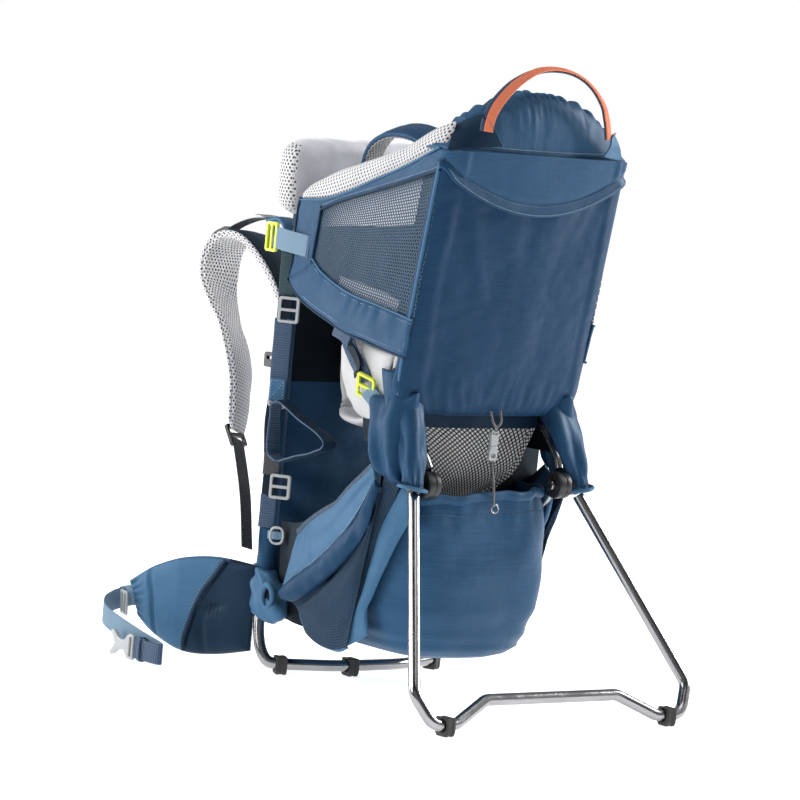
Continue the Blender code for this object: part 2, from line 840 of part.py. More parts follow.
def back_pad(root, finish):
    """The pad against the wearer's lower back."""
    low = 0.070
    high = 0.330
    rings = []
    for y, inset in ((0.0545, 0.006), (0.060, 0.0), (0.078, 0.0), (0.084, 0.008)):
        flat = superellipse((0, 0, 0), 0.112 - inset, (high - low) / 2 - inset, 4.5, 20)
        rings.append([Vector((spot.x, y, (low + high) / 2 + spot.y)) for spot in flat])
    loft("back_pad", rings, root, finish, smooth=60.0)


def shoulder_yoke(yoke, finish):
    """The plate that carries both shoulder straps and slides up and down the back."""
    rings = []
    for y, inset in ((0.0545, 0.002), (0.056, 0.0), (0.0625, 0.0), (0.064, 0.002)):
        flat = superellipse((0, 0, 0), 0.088 - inset, 0.038 - inset, 5.0, 16)
        rings.append([Vector((spot.x, y, YOKE_Z + spot.y)) for spot in flat])
    loft("shoulder_yoke", rings, yoke, finish)


def shoulder_straps(harnesses, finishes):
    widths = ((0.0, 0.050), (0.15, STRAP_WIDTH), (0.6, STRAP_WIDTH), (0.85, 0.052), (1.0, 0.040))
    for side, sx in SIDES:
        body = harnesses[side]
        strap(
            f"shoulder_strap_{side}",
            through([(sx * x, y, z) for x, y, z in STRAP_ROUTE], 2),
            lambda t: blend_values(widths, t),
            STRAP_THICK,
            body,
            finishes["mesh"],
            round_off=0.5,
        )
        path = through([(sx * x, y, z) for x, y, z in WEBBING_ROUTE], 3)
        strap(f"strap_webbing_{side}", path, 0.022, 0.0018, body, finishes["navy"])


def hip_fins(fins, finish):
    """The padded wings of the hip belt."""
    plan = ((FIN_X, FIN_Y), (0.160, 0.094), (0.180, 0.138), (0.193, 0.180), (0.199, 0.222))
    tops = ((0.0, 0.1300), (0.25, 0.1290), (0.5, 0.1200), (0.75, 0.0990), (1.0, 0.0810))
    lows = ((0.0, 0.0300), (0.25, 0.0110), (0.5, 0.0080), (0.75, 0.0190), (1.0, 0.0400))
    for side, sx in SIDES:

        def surface(u, v, sx=sx):
            x, y = beyond_edge(plan, u * (1 - FIN_SLANT * (1 - v)))
            low = blend_values(lows, u)
            high = blend_values(tops, u)
            return (sx * x, y, low + (high - low) * v)

        def thick(u, v):
            return 0.018 * (0.5 + 0.5 * min(1.0, min(u + 0.1, 1 - u, v, 1 - v) / 0.25))

        sheet_solid(f"hip_fin_{side}", surface, (8, 4), thick, fins[side], finish)


def belt_ends(ends, finishes):
    """The hip belt's webbing, looped back on itself, with the two halves of its buckle."""
    for side, sx in SIDES:
        path = through([(sx * x, y, z) for x, y, z in BELT_ROUTE], 3)
        strap(
            f"belt_webbing_{side}",
            path,
            0.024,
            0.0018,
            ends[side],
            finishes["sky"],
            across=(0, 0, 1),
        )
    prongs_at = (0.000, 0.012, 0.022, 0.032, 0.048)
    rows = (-0.0155, -0.0075, 0.0075, 0.0155)
    lattice_plate(
        "buckle_male",
        (-BUCKLE_X, BUCKLE_Y, BUCKLE_Z),
        ((0, 1, 0), (0, 0, 1)),
        prongs_at,
        rows,
        {(1, 0), (1, 2), (3, 1)},
        0.006,
        ends["left"],
        finishes["grey"],
    )
    rings = []
    for along, half_x, half_z in (
        (0.000, 0.0040, 0.0140),
        (0.004, 0.0060, 0.0160),
        (0.033, 0.0060, 0.0160),
        (0.041, 0.0050, 0.0120),
    ):
        flat = superellipse((0, 0, 0), half_x, half_z, 4.0, 12)
        middle = Vector((BUCKLE_X - 0.003, BUCKLE_Y + along, BUCKLE_Z))
        rings.append([middle + Vector((spot.x, 0, spot.y)) for spot in flat])
    loft("buckle_female", rings, ends["right"], finishes["grey"])


# ---- Webbing and adjusters on the flanks ----
def adjusters(root, finishes):
    """The adjusters on each flank, from the top down, each with the directions across it and up it."""
    flat = ((0, 1, 0), (0, 0, 1))
    turned_in = ((0.6, 0.8, 0), (0, 0, 1))
    hanging = ((-0.366, -0.880, -0.306), (0.349, -0.435, 0.832))
    for name, finish, place, width, height, (across, up) in (
        ("front_adjuster", "lime", (WEB_X + 0.0040, 0.070, 0.5250), 0.026, 0.036, flat),
        ("rail_adjuster_upper", "grey", (0.1323, 0.0329, 0.4400), 0.026, 0.032, turned_in),
        ("rail_adjuster_lower", "grey", (0.1274, 0.0263, 0.2260), 0.026, 0.030, turned_in),
        ("seat_adjuster", "lime", (0.1300, -0.1273, 0.3666), 0.026, 0.034, hanging),
    ):
        for side, sx in SIDES:
            ladder_lock(
                f"{name}_{side}",
                (sx * place[0], place[1], place[2]),
                ((sx * across[0], across[1], across[2]), (sx * up[0], up[1], up[2])),
                width,
                height,
                ADJUSTER_BAR,
                ADJUSTER_THICK,
                root,
                finishes[finish],
            )


def stirrups(loops, finish):
    """The child's foot loops, hung on the rail webbing."""
    corners = ((0.010, 0.332), (-0.104, 0.292), (0.004, 0.260), (0.024, 0.266), (0.024, 0.328))
    for side, sx in SIDES:
        route = [(sx * 0.1465, y, z) for y, z in corners]
        path = filleted(route, 0.008, steps=2, closed=True)
        strap(f"stirrup_{side}", path, 0.018, 0.0022, loops[side], finish, closed=True)


# ---- The whole carrier ----
def clear_scene():
    for obj in list(bpy.data.objects):
        bpy.data.objects.remove(obj, do_unlink=True)


def build():
    clear_scene()
    finishes = make_materials()
    root = Body("carrier", None)
    stand = Body("kickstand", root, (0.0, HINGE_Y, HINGE_Z))
    handle = Body("handle", root, (0.0, HANDLE_Y, HANDLE_Z))
    seat = Body("seat", root, (0.0, -0.050, 0.312))
    closure = Body("closure", root, (0.0, -0.2240, 0.2370))
    yoke = Body("yoke", root, (0.0, 0.059, YOKE_Z))
    harnesses = {}
    fins = {}
    ends = {}
    loops = {}
    for side, sx in SIDES:
        harnesses[side] = Body(f"strap_{side}", yoke, (sx * 0.056, 0.070, 0.375))
        fins[side] = Body(f"fin_{side}", root, (sx * FIN_X, FIN_Y, 0.080))
        ends[side] = Body(f"belt_end_{side}", fins[side], (sx * 0.200, 0.224, 0.060))
        loops[side] = Body(f"foot_loop_{side}", root, (sx * 0.1380, 0.014, 0.336))

    main_frame(root, finishes["steel"])
    side_arms(root, finishes["steel"])
    panel_hoop(root, finishes["steel"])
    hinges(root, stand, finishes)
    kickstand(stand, finishes)
    frame_feet(root, finishes)

    outer_panel(root, finishes["blue"])
    head_cap(root, finishes["blue"])
    grab_handle(handle, finishes["salmon"])
    side_panels(root, finishes["blue"])
    rim_pads(root, finishes["mesh"])
    chin_pad(root, finishes["velour"])
    seat_sling(seat, finishes["velour"])
    backrest_pad(root, finishes["mesh"])
    harness(root, finishes)

    lower_bag(root, finishes["blue"])
    net_panel(root, finishes["net"])
    side_pockets(root, finishes["blue"])
    hinge_sleeves(root, finishes["blue"])
    bag_closure(closure, finishes)

    back_panel(root, finishes["blue"])
    back_pad(root, finishes["mesh"])
    shoulder_yoke(yoke, finishes["navy"])
    shoulder_straps(harnesses, finishes)
    hip_fins(fins, finishes["blue"])
    belt_ends(ends, finishes)
    adjusters(root, finishes)
    stirrups(loops, finishes["sky"])


build()
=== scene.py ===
"""The looks of the child carrier backpack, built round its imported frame.

Metres. Places are written in carrier coordinates, as in the CAD: +Z up, the outer panel faces -Y, the
wearer's back faces +Y, x = 0 is the plane of symmetry and y = 0 is the ground bar. at() turns them into
the frame's own coordinates. What both sides have is built once for each side, with sx -1 or 1.
"""

import math

import bmesh
import bpy
from mathutils import Matrix, Vector, noise


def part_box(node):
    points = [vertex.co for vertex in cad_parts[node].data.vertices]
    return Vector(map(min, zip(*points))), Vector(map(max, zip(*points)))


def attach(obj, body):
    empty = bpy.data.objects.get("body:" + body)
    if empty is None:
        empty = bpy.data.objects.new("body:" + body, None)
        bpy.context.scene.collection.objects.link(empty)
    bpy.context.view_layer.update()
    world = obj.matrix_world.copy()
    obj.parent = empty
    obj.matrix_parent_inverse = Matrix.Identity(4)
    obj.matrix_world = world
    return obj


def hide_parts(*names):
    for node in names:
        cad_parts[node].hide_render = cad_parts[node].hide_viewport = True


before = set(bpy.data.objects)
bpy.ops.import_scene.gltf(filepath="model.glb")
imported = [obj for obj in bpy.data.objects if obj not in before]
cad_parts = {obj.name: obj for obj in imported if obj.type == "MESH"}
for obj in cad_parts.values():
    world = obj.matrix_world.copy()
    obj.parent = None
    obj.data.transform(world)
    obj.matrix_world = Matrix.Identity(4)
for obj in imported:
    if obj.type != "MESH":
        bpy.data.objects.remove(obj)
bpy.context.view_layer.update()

SIDES = (("left", -1), ("right", 1))
TURN = 6.2832  # once round, in radians, for the weaves
RAIL_X = 0.124
RAIL_Y = 0.046
TUBE_R = 0.007
BAR_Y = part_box("main_frame")[1].y - RAIL_Y - TUBE_R  # where the ground bar is in the frame


def at(x, y, z):
    return Vector((x, y + BAR_Y, z))


# ---------------------------------------------------------------- Camera
CAMERA_PLACE = at(-3.04177, -3.8462, 0.7834)
CAMERA_RIGHT = Vector((0.7838686, -0.6144807, 0.0892387))
CAMERA_UP = Vector((-0.0139763, 0.1262213, 0.9919037))
CAMERA_AHEAD = Vector((0.6207694, 0.7787694, -0.0903527))
CAMERA_LENS = 181.74


def set_camera():
    data = bpy.data.cameras.new("camera")
    data.lens = CAMERA_LENS
    data.sensor_width = 36.0
    data.clip_end = 50.0
    camera = bpy.data.objects.new("camera", data)
    bpy.context.scene.collection.objects.link(camera)
    turn = Matrix((CAMERA_RIGHT, CAMERA_UP, -CAMERA_AHEAD)).transposed().to_4x4()
    camera.matrix_world = Matrix.Translation(CAMERA_PLACE) @ turn
    bpy.context.scene.camera = camera


# ---------------------------------------------------------------- Paths
def through(points, steps=6):
    """A smooth curve through the points, with the given number of steps from each to the next."""
    points = [Vector(point) for point in points]
    ends = [2 * points[0] - points[1]] + points + [2 * points[-1] - points[-2]]
    curve = []
    for before, start, end, after in zip(ends, ends[1:], ends[2:], ends[3:]):
        for step in range(steps):
            t = step / steps
            bend = (2 * before - 5 * start + 4 * end - after) * t * t
            twist = (3 * start - before - 3 * end + after) * t * t * t
            curve.append(0.5 * (2 * start + (end - before) * t + bend + twist))
    curve.append(points[-1])
    return curve


def filleted(corners, radius, steps=10, closed=False):
    """The straight legs between the corners, with an arc of about the given radius at each bend."""
    corners = [Vector(corner) for corner in corners]
    count = len(corners)
    path = []
    for index, corner in enumerate(corners):
        if not closed and index in (0, count - 1):
            path.append(corner)
            continue
        back = corners[index - 1] - corner
        ahead = corners[(index + 1) % count] - corner
        turn = math.pi - back.angle(ahead)
        cut = min(radius * math.tan(turn / 2), 0.48 * back.length, 0.48 * ahead.length)
        start = corner + back.normalized() * cut
        end = corner + ahead.normalized() * cut
        for step in range(steps + 1):
            t = step / steps
            path.append((1 - t) ** 2 * start + 2 * t * (1 - t) * corner + t * t * end)
    return path


def sampled(path, count):
    """count points, evenly spaced along a path."""
    path = [Vector(point) for point in path]
    lengths = [0.0]
    for start, end in zip(path, path[1:]):
        lengths.append(lengths[-1] + (end - start).length)
    found = []
    index = 0
    for step in range(count):
        want = lengths[-1] * step / (count - 1)
        while index < len(path) - 2 and lengths[index + 1] < want:
            index += 1
        span = max(lengths[index + 1] - lengths[index], 1e-9)
        share = min(1.0, max(0.0, (want - lengths[index]) / span))
        found.append(path[index].lerp(path[index + 1], share))
    return found


def stops(pairs, t):
    """The value at t of a smooth line through (t, value) pairs."""
    if t <= pairs[0][0]:
        return pairs[0][1]
    for (t_low, low), (t_high, high) in zip(pairs, pairs[1:]):
        if t <= t_high:
            share = (t - t_low) / (t_high - t_low)
            return low + (high - low) * share * share * (3 - 2 * share)
    return pairs[-1][1]


def line(points, count=60):
    """A function of t, 0 to 1, that goes evenly along the smooth curve through the points."""
    spots = sampled(through(points, 10), count + 1)

    def place(t):
        where = min(max(t, 0.0), 1.0) * count
        index = min(int(where), count - 1)
        return spots[index].lerp(spots[index + 1], where - index)

    return place


def away(path, centre):
    """A ribbon's facing: out from the centre."""
    last = len(path) - 1
    return lambda t: path[round(t * last)] - Vector(centre)


def on_edge(path, across):
    """A ribbon's facing that keeps its width along the given direction."""
    last = len(path) - 1

    def facing(t):
        index = round(t * last)
        ahead = path[min(index + 1, last)] - path[max(index - 1, 0)]
        return Vector(across).cross(ahead)

    return facing


def mirrored(points, sx):
    return [Vector((sx * point[0], point[1], point[2])) for point in points]


def pillow(full, rim=0.12, least=0.15):
    """A thickness that falls off to the edges as a stuffed pad's does."""

    def thick(u, v):
        near = min(1.0, min(u, 1 - u, v, 1 - v) / rim)
        return full * (least + (1 - least) * math.sqrt(max(0.0, 1 - (1 - near) ** 2)))

    return thick


def bump_at(t, middle, width):
    """A smooth hump, 1 at the middle and gone a width away."""
    near = max(0.0, 1 - ((t - middle) / width) ** 2)
    return near * near


def rough(x, y, z, size):
    """Smooth noise from about -1 to 1, with features of the given size."""
    return noise.noise(Vector((x, y, z)) / size)


# ---------------------------------------------------------------- Mesh builders
def finish_mesh(name, verts, faces, loop_uvs, finish, body, smooth=50.0, level=0):
    """A piece from points in carrier coordinates; finish is the name of a look or a list of names."""
    data = bpy.data.meshes.new(name)
    data.from_pydata([at(*vert) for vert in verts], [], faces)
    layer = data.uv_layers.new(name="cloth")
    flat = [value for uv in loop_uvs for value in uv]
    layer.data.foreach_set("uv", flat)
    for look in [finish] if isinstance(finish, str) else finish:
        data.materials.append(LOOKS[look])
    data.shade_smooth()
    data.set_sharp_from_angle(angle=math.radians(smooth))
    piece = bpy.data.objects.new(name, data)
    bpy.context.scene.collection.objects.link(piece)
    if level:
        subdivide(piece, level)
    if body:
        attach(piece, body)
    return piece


def subdivide(piece, level):
    modifier = piece.modifiers.new("smooth", "SUBSURF")
    modifier.levels = level
    modifier.render_levels = level


def skin(name, rings, finish, body, loop=False, caps=True, smooth=50.0, level=0, pick=None):
    """Skins closed rings of equally many points. pick(row, column) gives a face's material index."""
    count = len(rings[0])
    verts = [point for ring in rings for point in ring]
    around = [0.0]
    middle = rings[len(rings) // 2]
    for index in range(count):
        gap = Vector(middle[(index + 1) % count]) - Vector(middle[index])
        around.append(around[-1] + gap.length)
    along = [0.0]
    for low, high in zip(rings, rings[1:] + rings[:1]):
        along.append(along[-1] + (Vector(high[0]) - Vector(low[0])).length)
    faces = []
    uvs = []
    picks = []
    rows = len(rings) if loop else len(rings) - 1
    for row in range(rows):
        after = (row + 1) % len(rings)
        for column in range(count):
            right = (column + 1) % count
            faces.append(
                (row * count + column, row * count + right, after * count + right, after * count + column)
            )
            low = (around[column], along[row])
            high = (around[column + 1], along[row + 1])
            uvs += [low, (high[0], low[1]), high, (low[0], high[1])]
            picks.append(pick(row, column) if pick else 0)
    if caps and not loop:
        for row, turn in ((0, -1), (len(rings) - 1, 1)):
            faces.append([row * count + column for column in range(count)][::turn])
            centre = sum((Vector(point) for point in rings[row]), Vector()) / count
            uvs += [
                ((Vector(rings[row][column]) - centre).x, (Vector(rings[row][column]) - centre).z)
                for column in range(count)
            ][::turn]
            picks.append(pick(row, 0) if pick else 0)
    piece = finish_mesh(name, verts, faces, uvs, finish, body, smooth, level)
    piece.data.polygons.foreach_set("material_index", picks)
    return outward(piece)


def outward(piece):
    """Points the faces of a piece away from its inside."""
    shape = bmesh.new()
    shape.from_mesh(piece.data)
    bmesh.ops.recalc_face_normals(shape, faces=shape.faces)
    shape.to_mesh(piece.data)
    shape.free()
    return piece


def sheet(name, surface, cells, thick, finish, body, relief=None, smooth=60.0):
    """A thin closed solid on surface(u, v). relief(u, v) moves both faces along the normal, in metres.
    thick is a number or a function of u, v."""
    across, up = cells
    delta = 1e-3
    points = []
    normals = []
    for row in range(up + 1):
        for column in range(across + 1):
            u = column / across
            v = row / up
            u0, u1 = max(0.0, u - delta), min(1.0, u + delta)
            v0, v1 = max(0.0, v - delta), min(1.0, v + delta)
            u_slope = Vector(surface(u1, v)) - Vector(surface(u0, v))
            v_slope = Vector(surface(u, v1)) - Vector(surface(u, v0))
            out = u_slope.cross(v_slope).normalized()
            point = Vector(surface(u, v))
            if relief:
                point += out * relief(u, v)
            points.append(point)
            normals.append(out)
    wide = across + 1
    half = [
        (thick(column / across, row / up) if callable(thick) else thick) / 2 for row in range(up + 1)
        for column in range(wide)
    ]
    count = len(points)
    verts = [point - normal * h for point, normal, h in zip(points, normals, half)]
    verts += [point + normal * h for point, normal, h in zip(points, normals, half)]
    u_at = [0.0]
    mid = (up // 2) * wide
    for column in range(across):
        u_at.append(u_at[-1] + (points[mid + column + 1] - points[mid + column]).length)
    v_at = [0.0]
    for row in range(up):
        here = row * wide + across // 2
        v_at.append(v_at[-1] + (points[here + wide] - points[here]).length)
    faces = []
    uvs = []
    for row in range(up):
        for column in range(across):
            a = row * wide + column
            square = (a, a + 1, a + wide + 1, a + wide)
            spots = (
                (u_at[column], v_at[row]), (u_at[column + 1], v_at[row]), (u_at[column + 1], v_at[row + 1]),
                (u_at[column], v_at[row + 1])
            )
            faces.append(square[::-1])
            uvs += spots[::-1]
            faces.append([index + count for index in square])
            uvs += spots
    edge = [(column, 0) for column in range(wide)]
    edge += [(across, row) for row in range(1, up + 1)]
    edge += [(column, up) for column in range(across - 1, -1, -1)]
    edge += [(0, row) for row in range(up - 1, 0, -1)]
    for (c0, r0), (c1, r1) in zip(edge, edge[1:] + edge[:1]):
        a = r0 * wide + c0
        b = r1 * wide + c1
        faces.append((a, b, b + count, a + count))
        lift = 2 * half[a]
        uvs += [
            (u_at[c0], v_at[r0]), (u_at[c1], v_at[r1]), (u_at[c1] + lift, v_at[r1] + lift),
            (u_at[c0] + lift, v_at[r0] + lift)
        ]
    return outward(finish_mesh(name, verts, faces, uvs, finish, body, smooth))


def sides_along(path, facing, closed=False):
    """For each point of the path: the point, the unit vector across a ribbon and the one out of its face.
    facing is a vector, or a function of the way along, that the ribbon's face turns to."""
    found = []
    count = len(path)
    for index, point in enumerate(path):
        if closed:
            ahead = path[(index + 1) % count] - path[index - 1]
        else:
            ahead = path[min(index + 1, count - 1)] - path[max(index - 1, 0)]
        want = Vector(facing(index / max(1, count - 1)) if callable(facing) else facing)
        side = ahead.cross(want).normalized()
        found.append((point, side, side.cross(ahead).normalized()))
    return found


def ribbon(
    name, path, width, thick, facing, finish, body, edge=0.35, closed=False, level=0, pick=None, dome=0.0
):
    """A strap along a path, with rounded edges. width and thick are numbers or functions of the way along.
    dome makes its faces crowned, as a share of the thickness."""
    rings = []
    last = max(len(path) - 1, 1)
    for index, (point, side, out) in enumerate(sides_along(path, facing, closed)):
        t = index / last
        half_w = (width(t) if callable(width) else width) / 2
        half_t = (thick(t) if callable(thick) else thick) / 2
        inset = min(half_t * 1.2, half_w * 0.45)
        corners = (
            (-half_w, -half_t * edge), (-half_w + inset * 0.35, -half_t * 0.8),
            (-half_w + inset, -half_t * (1 - 0.3 * dome)), (-half_w * 0.4, -half_t), (half_w * 0.4, -half_t),
            (half_w - inset, -half_t * (1 - 0.3 * dome)), (half_w - inset * 0.35, -half_t * 0.8),
            (half_w, -half_t * edge), (half_w, half_t * edge), (half_w - inset * 0.35, half_t * 0.8),
            (half_w - inset, half_t * (1 - 0.3 * dome)), (half_w * 0.4, half_t), (-half_w * 0.4, half_t),
            (-half_w + inset, half_t * (1 - 0.3 * dome)), (-half_w + inset * 0.35, half_t * 0.8),
            (-half_w, half_t * edge)
        )
        rings.append([point + side * a + out * b for a, b in corners])
    return skin(name, rings, finish, body, loop=closed, smooth=70.0, level=level, pick=pick)


def pipe(name, path, radius, finish, body, sides=24, closed=False, squeeze=1.0):
    """A round tube along a path; radius is a number or a function of the way along."""
    rings = []
    last = max(len(path) - 1, 1)
    count = len(path)
    side = None
    for index, point in enumerate(path):
        if closed:
            ahead = path[(index + 1) % count] - path[index - 1]
        else:
            ahead = path[min(index + 1, count - 1)] - path[max(index - 1, 0)]
        ahead.normalize()
        if side is None:
            side = ahead.cross(Vector((0, 0, 1)))
            if side.length < 1e-4:
                side = ahead.cross(Vector((1, 0, 0)))
        side = (side - ahead * side.dot(ahead)).normalized()
        out = ahead.cross(side)
        r = radius(index / last) if callable(radius) else radius
        ring = []
        for step in range(sides):
            angle = 2 * math.pi * step / sides
            ring.append(point + side * math.cos(angle) * r + out * math.sin(angle) * r * squeeze)
        rings.append(ring)
    return skin(name, rings, finish, body, loop=closed)


def stitches(name, path, facing, finish, body, pitch=0.0036, radius=0.00055):
    """A row of raised thread stitches along a path."""
    length = sum((b - a).length for a, b in zip(path, path[1:]))
    count = max(2, int(length / pitch))
    spots = sampled(path, 2 * count + 1)
    verts = []
    faces = []
    uvs = []
    for index in range(count):
        start, end = spots[2 * index], spots[2 * index + 1]
        ahead = (end - start).normalized()
        want = facing(index / count) if callable(facing) else facing
        side = ahead.cross(Vector(want)).normalized()
        out = side.cross(ahead)
        base = len(verts)
        for place, size in (
            (start, 0.4), (start.lerp(end, 0.25), 1.0), (start.lerp(end, 0.75), 1.0), (end, 0.4)
        ):
            for a, b in ((-1, 0), (0, 1), (1, 0), (0, -0.4)):
                verts.append(place + side * a * radius * size + out * b * radius * size)
        for row in range(3):
            for column in range(4):
                right = (column + 1) % 4
                low = base + row * 4
                faces.append((low + column, low + right, low + 4 + right, low + 4 + column))
                uvs += [(0, 0), (radius, 0), (radius, pitch), (0, pitch)]
        for cap in ((base + 3, base + 2, base + 1, base), tuple(base + 12 + k for k in range(4))):
            faces.append(cap)
            uvs += [(0, 0), (radius, 0), (radius, radius), (0, radius)]
    return finish_mesh(name, verts, faces, uvs, finish, body, smooth=80.0)


def box_map(piece):
    """Lays the piece's cloth coordinates flat, in metres, on the plane that each face is nearest to."""
    data = piece.data
    layer = data.uv_layers.get("cloth") or data.uv_layers.new(name="cloth")
    for polygon in data.polygons:
        n = polygon.normal
        drop = max(range(3), key=lambda k: abs(n[k]))
        keep = [k for k in (0, 1, 2) if k != drop]
        for loop in polygon.loop_indices:
            co = data.vertices[data.loops[loop].vertex_index].co
            layer.data[loop].uv = (co[keep[0]], co[keep[1]])


def superellipse(half_a, half_b, power, count):
    """Flat (a, b) points of a rounded outline."""
    found = []
    for index in range(count):
        angle = 2 * math.pi * (index + 0.5) / count
        c = math.cos(angle)
        s = math.sin(angle)
        a = math.copysign(abs(c) ** (2 / power), c) * half_a
        b = math.copysign(abs(s) ** (2 / power), s) * half_b
        found.append((a, b))
    return found


def turned(name, start, axis, profile, finish, body, segments=32):
    """A solid turned round the axis, from (distance along it, radius) pairs."""
    turn = Vector(axis).to_track_quat("Z", "Y").to_matrix()
    rings = []
    for along, radius in profile:
        ring = []
        for index in range(segments):
            angle = 2 * math.pi * index / segments
            spot = Vector((math.cos(angle) * radius, math.sin(angle) * radius, along))
            ring.append(Vector(start) + turn @ spot)
        rings.append(ring)
    return skin(name, rings, finish, body, smooth=35.0)


def bar_frame(name, centre, across, up, outline, holes, thick, finish, body, bevel=0.0008):
    """A moulded plate: an outline in (across, up) with holes, extruded and bevelled."""
    across = Vector(across).normalized()
    up = Vector(up).normalized()
    out = across.cross(up)
    shape = bmesh.new()
    edges = []
    for ring in [outline] + list(holes):
        points = [shape.verts.new(at(*centre) + across * a + up * b) for a, b in ring]
        edges += [shape.edges.new((p, q)) for p, q in zip(points, points[1:] + points[:1])]
    bmesh.ops.triangle_fill(shape, edges=edges, use_beauty=True)
    made = bmesh.ops.extrude_face_region(shape, geom=shape.faces[:])
    top = [item for item in made["geom"] if isinstance(item, bmesh.types.BMVert)]
    bmesh.ops.translate(shape, verts=top, vec=out * thick)
    bmesh.ops.translate(shape, verts=shape.verts, vec=-out * thick / 2)
    bmesh.ops.recalc_face_normals(shape, faces=shape.faces)
    data = bpy.data.meshes.new(name)
    shape.to_mesh(data)
    shape.free()
    data.materials.append(LOOKS[finish])
    piece = bpy.data.objects.new(name, data)
    bpy.context.scene.collection.objects.link(piece)
    box_map(piece)
    modifier = piece.modifiers.new("round", "BEVEL")
    modifier.width = bevel
    modifier.segments = 3
    modifier.limit_method = "ANGLE"
    modifier.angle_limit = math.radians(40)
    data.shade_smooth()
    data.set_sharp_from_angle(angle=math.radians(40))
    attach(piece, body)
    return piece


def rounded(half_a, half_b, radius, steps=5, shift=(0.0, 0.0)):
    """The outline of a rectangle with rounded corners."""
    found = []
    for quarter, (sa, sb) in enumerate(((1, 1), (-1, 1), (-1, -1), (1, -1))):
        for step in range(steps + 1):
            angle = math.pi / 2 * (quarter + step / steps)
            found.append(
                (
                    shift[0] + sa * (half_a - radius) + radius * math.cos(angle),
                    shift[1] + sb * (half_b - radius) + radius * math.sin(angle)
                )
            )
    return found


# ---------------------------------------------------------------- Materials
class Shader:
    """A material under construction; sockets are passed from call to call."""

    def __init__(self, name, roughness=0.5, metallic=0.0, **settings):
        self.material = bpy.data.materials.new(name)
        self.material.use_nodes = True
        self.tree = self.material.node_tree
        self.surface = self.tree.nodes["Principled BSDF"]
        self.surface.inputs["Roughness"].default_value = roughness
        self.surface.inputs["Metallic"].default_value = metallic
        for key, value in settings.items():
            self.surface.inputs[key.replace("_", " ")].default_value = value
        self.cloth = self.node("ShaderNodeUVMap", uv_map="cloth").outputs["UV"]
        self.place = self.node("ShaderNodeTexCoord").outputs["Object"]

    def node(self, kind, **settings):
        made = self.tree.nodes.new(kind)
        for key, value in settings.items():
            setattr(made, key, value)
        return made

    def feed(self, socket, value):
        if isinstance(value, bpy.types.NodeSocket):
            self.tree.links.new(value, socket)
        else:
            socket.default_value = value

    def math(self, operation, a, b=0.0, c=0.0):
        made = self.node("ShaderNodeMath", operation=operation)
        for socket, value in zip(made.inputs, (a, b, c)):
            self.feed(socket, value)
        return made.outputs[0]

    def scaled(self, vector, scale, turn=0.0):
        made = self.node("ShaderNodeMapping")
        self.feed(made.inputs["Vector"], vector)
        made.inputs["Scale"].default_value = scale
        made.inputs["Rotation"].default_value = (0.0, 0.0, turn)
        return made.outputs[0]

    def split(self, vector):
        made = self.node("ShaderNodeSeparateXYZ")
        self.feed(made.inputs[0], vector)
        return made.outputs[0], made.outputs[1]

    def noise(self, vector, scale, detail=3.0, roughness=0.5):
        made = self.node("ShaderNodeTexNoise")
        self.feed(made.inputs["Vector"], vector)
        made.inputs["Scale"].default_value = scale
        made.inputs["Detail"].default_value = detail
        made.inputs["Roughness"].default_value = roughness
        return made.outputs["Fac"]

    def ramp(self, value, low, high, to_low=0.0, to_high=1.0):
        made = self.node("ShaderNodeMapRange")
        made.interpolation_type = "SMOOTHSTEP"
        for socket, number in zip(made.inputs, (value, low, high, to_low, to_high)):
            self.feed(socket, number)
        return made.outputs[0]

    def mix(self, share, a, b):
        made = self.node("ShaderNodeMix", data_type="RGBA")
        self.feed(made.inputs["Factor"], share)
        for socket, value in ((made.inputs[6], a), (made.inputs[7], b)):
            self.feed(socket, (*value, 1.0) if isinstance(value, tuple) and len(value) == 3 else value)
        return made.outputs[2]

    def bump(self, height, distance, strength=1.0, normal=None):
        made = self.node("ShaderNodeBump")
        self.feed(made.inputs["Height"], height)
        made.inputs["Distance"].default_value = distance
        made.inputs["Strength"].default_value = strength
        if normal is not None:
            self.feed(made.inputs["Normal"], normal)
        return made.outputs[0]

    def set(self, key, value):
        self.feed(self.surface.inputs[key], value)

    def edges(self):
        """About 0.5 on flat faces, more on edges that stick out, less in creases."""
        return self.node("ShaderNodeNewGeometry").outputs["Pointiness"]

    def stagger(self, pitch, squash=0.86, hole=(0.3, 0.34), turn=0.0):
        """A mask of round holes in staggered rows, 1 in a hole, over the cloth coordinates."""
        lay = self.scaled(self.cloth, (1 / pitch, 1 / (pitch * squash), 1), turn)
        u, v = self.split(lay)
        row = self.math("FLOOR", v)
        odd = self.math("MULTIPLY", self.math("MODULO", row, 2.0), 0.5)
        du = self.math("SUBTRACT", self.math("FRACT", self.math("ADD", u, odd)), 0.5)
        dv = self.math("SUBTRACT", self.math("FRACT", v), 0.5)
        far = self.math(
            "ADD", self.math("POWER", self.math("DIVIDE", du, hole[0]), 2.0),
            self.math("POWER", self.math("DIVIDE", dv, hole[1]), 2.0)
        )
        return self.ramp(far, 0.65, 1.25, 1.0, 0.0)


def tint(colour, factor):
    return tuple(min(1.0, channel * factor) for channel in colour)


